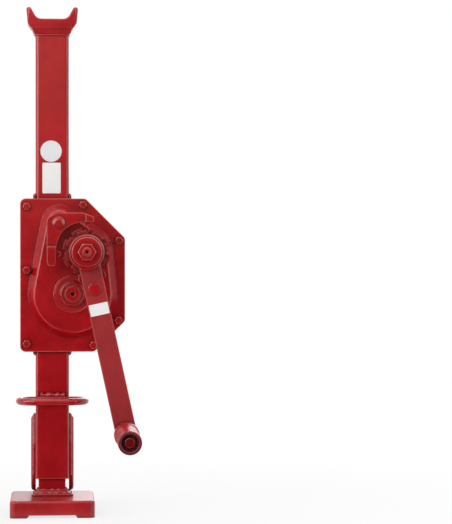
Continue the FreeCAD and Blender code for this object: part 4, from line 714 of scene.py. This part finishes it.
class JACK_OT_seam_beads(bpy.types.Operator):
    """Welds along the tube: head seam, carry ring, claw and case necks"""

    bl_idname = "jack.seam_beads"
    bl_label = "Weld the tube's seams"

    def execute(self, context):
        s = settings().beads
        step = s.pitch / RIPPLE_STEPS
        lo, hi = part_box("shaft_tube")
        head = round_rectangle(lo, hi, hi.z, TUBE_CORNER, step)
        beads("head_seam_bead", [(head, True)], s.seam, "lift_frame")

        ring_lo, ring_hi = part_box("carry_ring")
        bar = (ring_hi.z - ring_lo.z) / 2
        mid = (ring_hi.z + ring_lo.z) / 2
        face = lo.y - RING_BEAD_PROUD
        rows = [(crosswise(*RING_BEAD_ENDS, face, mid + bar * height, step), False)
                for height in RING_BEAD_HEIGHTS]
        beads("ring_bead", rows, s.seam, "lift_frame")

        rows = []
        for side in (1, -1):
            x = side * (hi.x + CHEEK_PROUD)
            y, top = CHEEK_FRONT
            up = straight((x, y, lo.z + CHEEK_FOOT), (x, y, top), step)
            over = straight((x, *CHEEK_SLOPE[0]), (x, *CHEEK_SLOPE[1]), step)
            rows.append((up + over, False))
        beads("claw_cheek_beads", rows, s.seam, "lift_frame")

        claw_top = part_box("lifting_claw")[1].z
        back = crosswise(-CLAW_BACK_HALF, CLAW_BACK_HALF, hi.y + CLAW_BACK_PROUD, claw_top, step)
        beads("claw_back_bead", [(back, False)], s.seam, "lift_frame")

        case_lo, case_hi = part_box("rear_case")
        rows = []
        for z in (case_lo.z, case_hi.z):
            for side in (1, -1):
                x = side * (hi.x + NECK_PROUD)
                rows.append((straight((x, lo.y + NECK_FRONT_GAP, z), (x, hi.y - NECK_BACK_GAP, z),
                                      step), False))
            rows.append((crosswise(-NECK_BACK_HALF, NECK_BACK_HALF, hi.y + NECK_PROUD, z, step),
                         False))
        beads("case_neck_beads", rows, s.seam, "lift_frame")
        return {"FINISHED"}


class JACK_OT_foot_beads(bpy.types.Operator):
    """Welds round the rack's foot, run in two lumpy passes"""

    bl_idname = "jack.foot_beads"
    bl_label = "Weld the rack to the foot"

    def execute(self, context):
        s = settings().beads
        step = s.pitch / RIPPLE_STEPS
        weld_lo, weld_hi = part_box("rack_weld")
        rack_lo, rack_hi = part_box("rack")
        lower = round_rectangle(weld_lo + FOOT_WELD_INSET, weld_hi - FOOT_WELD_INSET,
                                (weld_lo.z + weld_hi.z) / 2, FOOT_WELD_CORNER, step)
        upper = round_rectangle(rack_lo, rack_hi, weld_hi.z, RACK_CORNER, step)
        beads("foot_weld_low", [(lower, True)], s.seam, "base")
        beads("foot_weld_high", [(upper, True)], s.seam, "base")
        return {"FINISHED"}


class JACK_OT_boss_beads(bpy.types.Operator):
    """Welds round the four bearing bosses"""

    bl_idname = "jack.boss_beads"
    bl_label = "Weld the bosses"

    def execute(self, context):
        s = settings().beads
        step = s.pitch / RIPPLE_STEPS
        rows = []
        for node, axis, front in (("crank_rear_boss", CRANK_AXIS, False),
                                  ("pinion_rear_boss", PINION_AXIS, False),
                                  ("crank_front_boss", CRANK_AXIS, True),
                                  ("pinion_front_boss", PINION_AXIS, True)):
            lo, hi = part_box(node)
            radius = (hi.x - lo.x) / 2
            centre = Vector((axis.x, hi.y if front else lo.y, axis.z))
            rows.append((arc(centre, radius, 0.0, math.tau, step)[:-1], True))
        beads("boss_beads", rows, s.boss, "lift_frame")
        return {"FINISHED"}


class JACK_OT_crank_beads(bpy.types.Operator):
    """Welds the crank's arm to its hub"""

    bl_idname = "jack.crank_beads"
    bl_label = "Weld the crank"

    def execute(self, context):
        s = settings().beads
        step = s.pitch / RIPPLE_STEPS
        hub_lo, hub_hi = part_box("crank_hub")
        radius = (hub_hi.z - hub_lo.z) / 2
        centre = Vector((CRANK_AXIS.x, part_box("crank_arm")[0].y, CRANK_AXIS.z))
        front = arc(centre, radius + HUB_BEAD_PROUD, -HUB_BEAD_HALF, HUB_BEAD_HALF, step)
        beads("hub_bead", [(front, False)], s.seam, "crank")
        return {"FINISHED"}


class JACK_OT_spring(bpy.types.Operator):
    """Winds the detent's spring"""

    bl_idname = "jack.spring"
    bl_label = "Wind the detent's spring"

    def execute(self, context):
        s = settings().spring
        lo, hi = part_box("detent_spring")
        middle = (lo + hi) / 2
        node = NODES["detent_spring"]
        spots = [node.matrix_world @ v.co - middle for v in node.data.vertices]
        reach = [spot.dot(ARM_LINE) for spot in spots]
        outer = max((spot - ARM_LINE * along).length for spot, along in zip(spots, reach))
        low, high = min(reach), max(reach)

        steps = SPRING_STEPS * s.turns
        rise = (high - low - 2 * s.wire) / steps
        bm = bmesh.new()
        bmesh.ops.create_circle(bm, segments=WIRE_SIDES, radius=s.wire)
        upright = Matrix.Rotation(math.radians(90.0), 3, "X")
        bmesh.ops.rotate(bm, cent=(0, 0, 0), matrix=upright, verts=bm.verts)
        bmesh.ops.translate(bm, vec=(outer - s.wire, 0.0, low + s.wire), verts=bm.verts)
        first = bm.edges[:]
        wound = bmesh.ops.spin(bm, geom=bm.verts[:] + first, cent=(0, 0, 0), axis=(0, 0, 1),
                               dvec=(0, 0, rise), angle=math.tau * s.turns, steps=steps)
        last = [e for e in wound["geom_last"] if isinstance(e, bmesh.types.BMEdge)]
        bmesh.ops.holes_fill(bm, edges=first, sides=0)
        bmesh.ops.holes_fill(bm, edges=last, sides=0)
        turn = UP.rotation_difference(ARM_LINE).to_matrix().to_4x4()
        bmesh.ops.transform(bm, matrix=Matrix.Translation(middle) @ turn, verts=bm.verts)

        steel = bpy.data.materials["machined_steel"]
        piece = keep(bm, "wound_spring", steel, "crank")
        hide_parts("detent_spring")
        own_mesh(piece)
        return {"FINISHED"}


class JACK_OT_plates(bpy.types.Operator):
    """Blank plates: a disc and an upright card on the tube, and a tag on the crank's arm"""

    bl_idname = "jack.plates"
    bl_label = "Fit the blank plates"

    def execute(self, context):
        s = settings().plates
        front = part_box("shaft_tube")[0].y
        silver = foil("silver_foil", light=(0.74, 0.74, 0.75, 1), dark=(0.62, 0.62, 0.64, 1),
                      scale=160.0)
        white = foil("white_card", light=(0.80, 0.79, 0.78, 1), dark=(0.72, 0.71, 0.70, 1),
                     scale=90.0)

        bm = bmesh.new()
        bmesh.ops.create_circle(bm, cap_ends=True, segments=DISC_SIDES, radius=s.disc_r)
        raise_plate(bm, s.thick)
        fit_plate(bm, "blank_disc", silver, "lift_frame",
                  Matrix.Translation((DISC_X, front, s.disc_z)))

        bm = bmesh.new()
        rounded_face(bm, s.card_wide, s.card_high, CARD_CORNER, segments=6)
        raise_plate(bm, s.thick)
        fit_plate(bm, "blank_card", white, "lift_frame",
                  Matrix.Translation((CARD_X, front, s.card_z)))

        bm = bmesh.new()
        rounded_face(bm, s.tag_wide, s.tag_long, TAG_CORNER, segments=6)
        raise_plate(bm, s.thick)
        spot = CRANK_AXIS + ARM_LINE * s.tag_reach
        spot.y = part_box("crank_arm")[0].y
        fit_plate(bm, "blank_tag", white, "crank",
                  Matrix.Translation(spot) @ Matrix.Rotation(-ARM_LEAN, 4, "Y"))
        return {"FINISHED"}


def seen_white(tree):
    """A mask of the rays that see the background: camera, glossy and transmission rays."""
    path = put(tree, "ShaderNodeLightPath", -800).outputs
    direct = maths(tree, -600, 0, "MAXIMUM", path["Is Camera Ray"], path["Is Glossy Ray"])
    return maths(tree, -400, 0, "MAXIMUM", direct, path["Is Transmission Ray"])


def studio_floor():
    """Pale paper that looks white, and keeps the jack's shadow near its foot."""
    paper = bpy.data.materials.new("studio_paper")
    tree = blank_tree(paper)
    spot = put(tree, "ShaderNodeTexCoord", -800, 400)
    far = put(tree, "ShaderNodeVectorMath", -600, 400, operation="LENGTH")
    feed(tree, far.inputs[0], spot.outputs["Object"])
    near = remap(tree, -400, 400, far.outputs["Value"], start=0.1, end=0.9, low=0.72)
    share = maths(tree, -200, 400, "MULTIPLY", seen_white(tree), near)
    matt = put(tree, "ShaderNodeBsdfDiffuse", -200, 200, color=(0.9, 0.9, 0.9, 1.0))
    glow = put(tree, "ShaderNodeEmission", -200, -200, color=WHITE)
    mixed = put(tree, "ShaderNodeMixShader", 0)
    for socket, value in zip(mixed.inputs, (share, matt.outputs[0], glow.outputs[0])):
        feed(tree, socket, value)
    put(tree, "ShaderNodeOutputMaterial", 200, surface=mixed.outputs[0])

    bm = bmesh.new()
    bmesh.ops.create_grid(bm, x_segments=8, y_segments=8, size=FLOOR_SIZE)
    floor = make_object(bm, "studio_floor", paper)


def studio_flags(s):
    """Dark cloth round the set and on the floor in front, which only reflections show."""
    cloth = bpy.data.materials.new("flag_cloth")
    tree = blank_tree(cloth)
    place = put(tree, "ShaderNodeTexCoord", -600).outputs["Object"]
    parts = put(tree, "ShaderNodeSeparateXYZ", -400, vector=place)
    height = remap(tree, -200, 0, parts.outputs["Z"], start=0.35, end=1.05, low=0.006,
                   high=s.flag_glow)
    folds = put(tree, "ShaderNodeTexNoise", -400, -300, vector=place, scale=1.6, detail=1.0)
    uneven = remap(tree, -200, -300, folds.outputs["Fac"], start=0.35, end=0.65, low=0.3, high=1.7)
    level = maths(tree, -50, 0, "MULTIPLY", height, uneven)
    glow = put(tree, "ShaderNodeEmission", 100, color=s.flag_tint, strength=level)
    put(tree, "ShaderNodeOutputMaterial", 300, surface=glow.outputs[0])

    bm = bmesh.new()
    bmesh.ops.create_cone(bm, segments=FLAG_SIDES, radius1=s.flag_r, radius2=s.flag_r,
                          depth=s.flag_high)
    bmesh.ops.translate(bm, vec=(0.0, 0.0, s.flag_high / 2 + FLAG_LIFT), verts=bm.verts)
    bmesh.ops.bisect_plane(bm, geom=bm.verts[:] + bm.edges[:] + bm.faces[:],
                           plane_co=(0.0, s.flag_back, 0.0), plane_no=(-s.flag_side, 1.0, 0.0),
                           clear_outer=True)
    rug = bmesh.ops.create_circle(bm, cap_ends=True, segments=FLAG_SIDES, radius=s.flag_r)["verts"]
    bmesh.ops.translate(bm, vec=(0.0, -s.flag_r - RUG_GAP, RUG_LIFT), verts=rug)
    flags = make_object(bm, "studio_flags", cloth)
    flags.visible_camera = False
    flags.visible_diffuse = False
    flags.visible_shadow = False
    flags.visible_transmission = False


def studio_air(s):
    """Even light from all round, white where it is seen."""
    world = bpy.data.worlds.new("studio_air")
    tree = blank_tree(world)
    level = remap(tree, 0, 0, seen_white(tree), low=s.ambient)
    sky = put(tree, "ShaderNodeBackground", 200, color=WHITE, strength=level)
    put(tree, "ShaderNodeOutputWorld", 400, surface=sky.outputs[0])
    bpy.context.scene.world = world


def lamp(name, power, size, spot, aim):
    """A soft rectangular lamp aimed at a height on the jack's axis."""
    data = bpy.data.lights.new(name, "AREA")
    data.shape = "RECTANGLE"
    data.size, data.size_y = size
    data.energy = power
    made = bpy.data.objects.new(name, data)
    made.location = spot
    made.rotation_euler = (UP * aim - Vector(spot)).to_track_quat("-Z", "Y").to_euler()
    made.visible_camera = False
    bpy.context.scene.collection.objects.link(made)


def studio_camera(s):
    """The camera in front of the jack."""
    data = bpy.data.cameras.new("eye")
    data.lens = s.lens
    data.sensor_width = SENSOR
    data.clip_end = FAR_CLIP
    eye = bpy.data.objects.new("eye", data)
    eye.location = (0.0, -s.away, s.eye)
    look = Vector((math.sin(s.turn), math.cos(s.turn), -math.tan(s.nod)))
    eye.rotation_euler = look.to_track_quat("-Z", "Y").to_euler()
    bpy.context.scene.collection.objects.link(eye)
    bpy.context.scene.camera = eye


class JACK_OT_studio(bpy.types.Operator):
    """White floor, dark flags, soft lamps and the camera"""

    bl_idname = "jack.studio"
    bl_label = "Set up the studio"

    def execute(self, context):
        s = settings().studio
        bpy.context.scene.view_settings.view_transform = "Standard"
        studio_floor()
        studio_flags(s)
        studio_air(s)
        lamp("key_lamp", s.key, size=(2.0, 2.4), spot=(-1.35, -2.1, 1.6), aim=0.4)
        lamp("fill_lamp", s.fill, size=(1.2, 1.8), spot=(1.9, -1.4, 0.9), aim=0.35)
        lamp("side_lamp", s.side, size=(0.9, 1.7), spot=(-1.85, -1.0, 0.55), aim=0.45)
        lamp("back_lamp", s.back, size=(1.6, 1.8), spot=(0.7, 2.3, 1.4), aim=0.35)
        lamp("top_lamp", s.fill, size=(1.5, 1.5), spot=(0.1, -0.2, 2.4), aim=0.4)
        studio_camera(s)
        return {"FINISHED"}


class JACK_PT_pieces(bpy.types.Panel):
    """Lists the jack's operators"""

    bl_idname = "JACK_PT_pieces"
    bl_label = "Rack and pinion jack"
    bl_space_type = "VIEW_3D"
    bl_region_type = "UI"
    bl_category = "Jack"

    def draw(self, context):
        for kind in OPERATORS:
            self.layout.operator(kind.bl_idname, text=kind.bl_label)


OPERATORS = (JACK_OT_enamel, JACK_OT_seam_beads, JACK_OT_foot_beads, JACK_OT_boss_beads,
             JACK_OT_crank_beads, JACK_OT_spring, JACK_OT_plates, JACK_OT_studio)
CLASSES = (EnamelSettings, BeadSettings, PlateSettings, SpringSettings, StudioSettings,
           JackSettings) + OPERATORS + (JACK_PT_pieces,)


def register():
    """Registers the classes, and gives the scene its settings."""
    for kind in CLASSES:
        bpy.utils.register_class(kind)
    bpy.types.Scene.jack = PointerProperty(type=JackSettings)


def unregister():
    """Takes the settings and the classes away again."""
    del bpy.types.Scene.jack
    for kind in reversed(CLASSES):
        bpy.utils.unregister_class(kind)


def main():
    """Makes the jack's pieces and the studio."""
    register()
    bpy.ops.jack.enamel()
    bpy.ops.jack.seam_beads()
    bpy.ops.jack.foot_beads()
    bpy.ops.jack.boss_beads()
    bpy.ops.jack.crank_beads()
    bpy.ops.jack.spring()
    bpy.ops.jack.plates()
    bpy.ops.jack.studio()


if __name__ == "__main__":
    main()
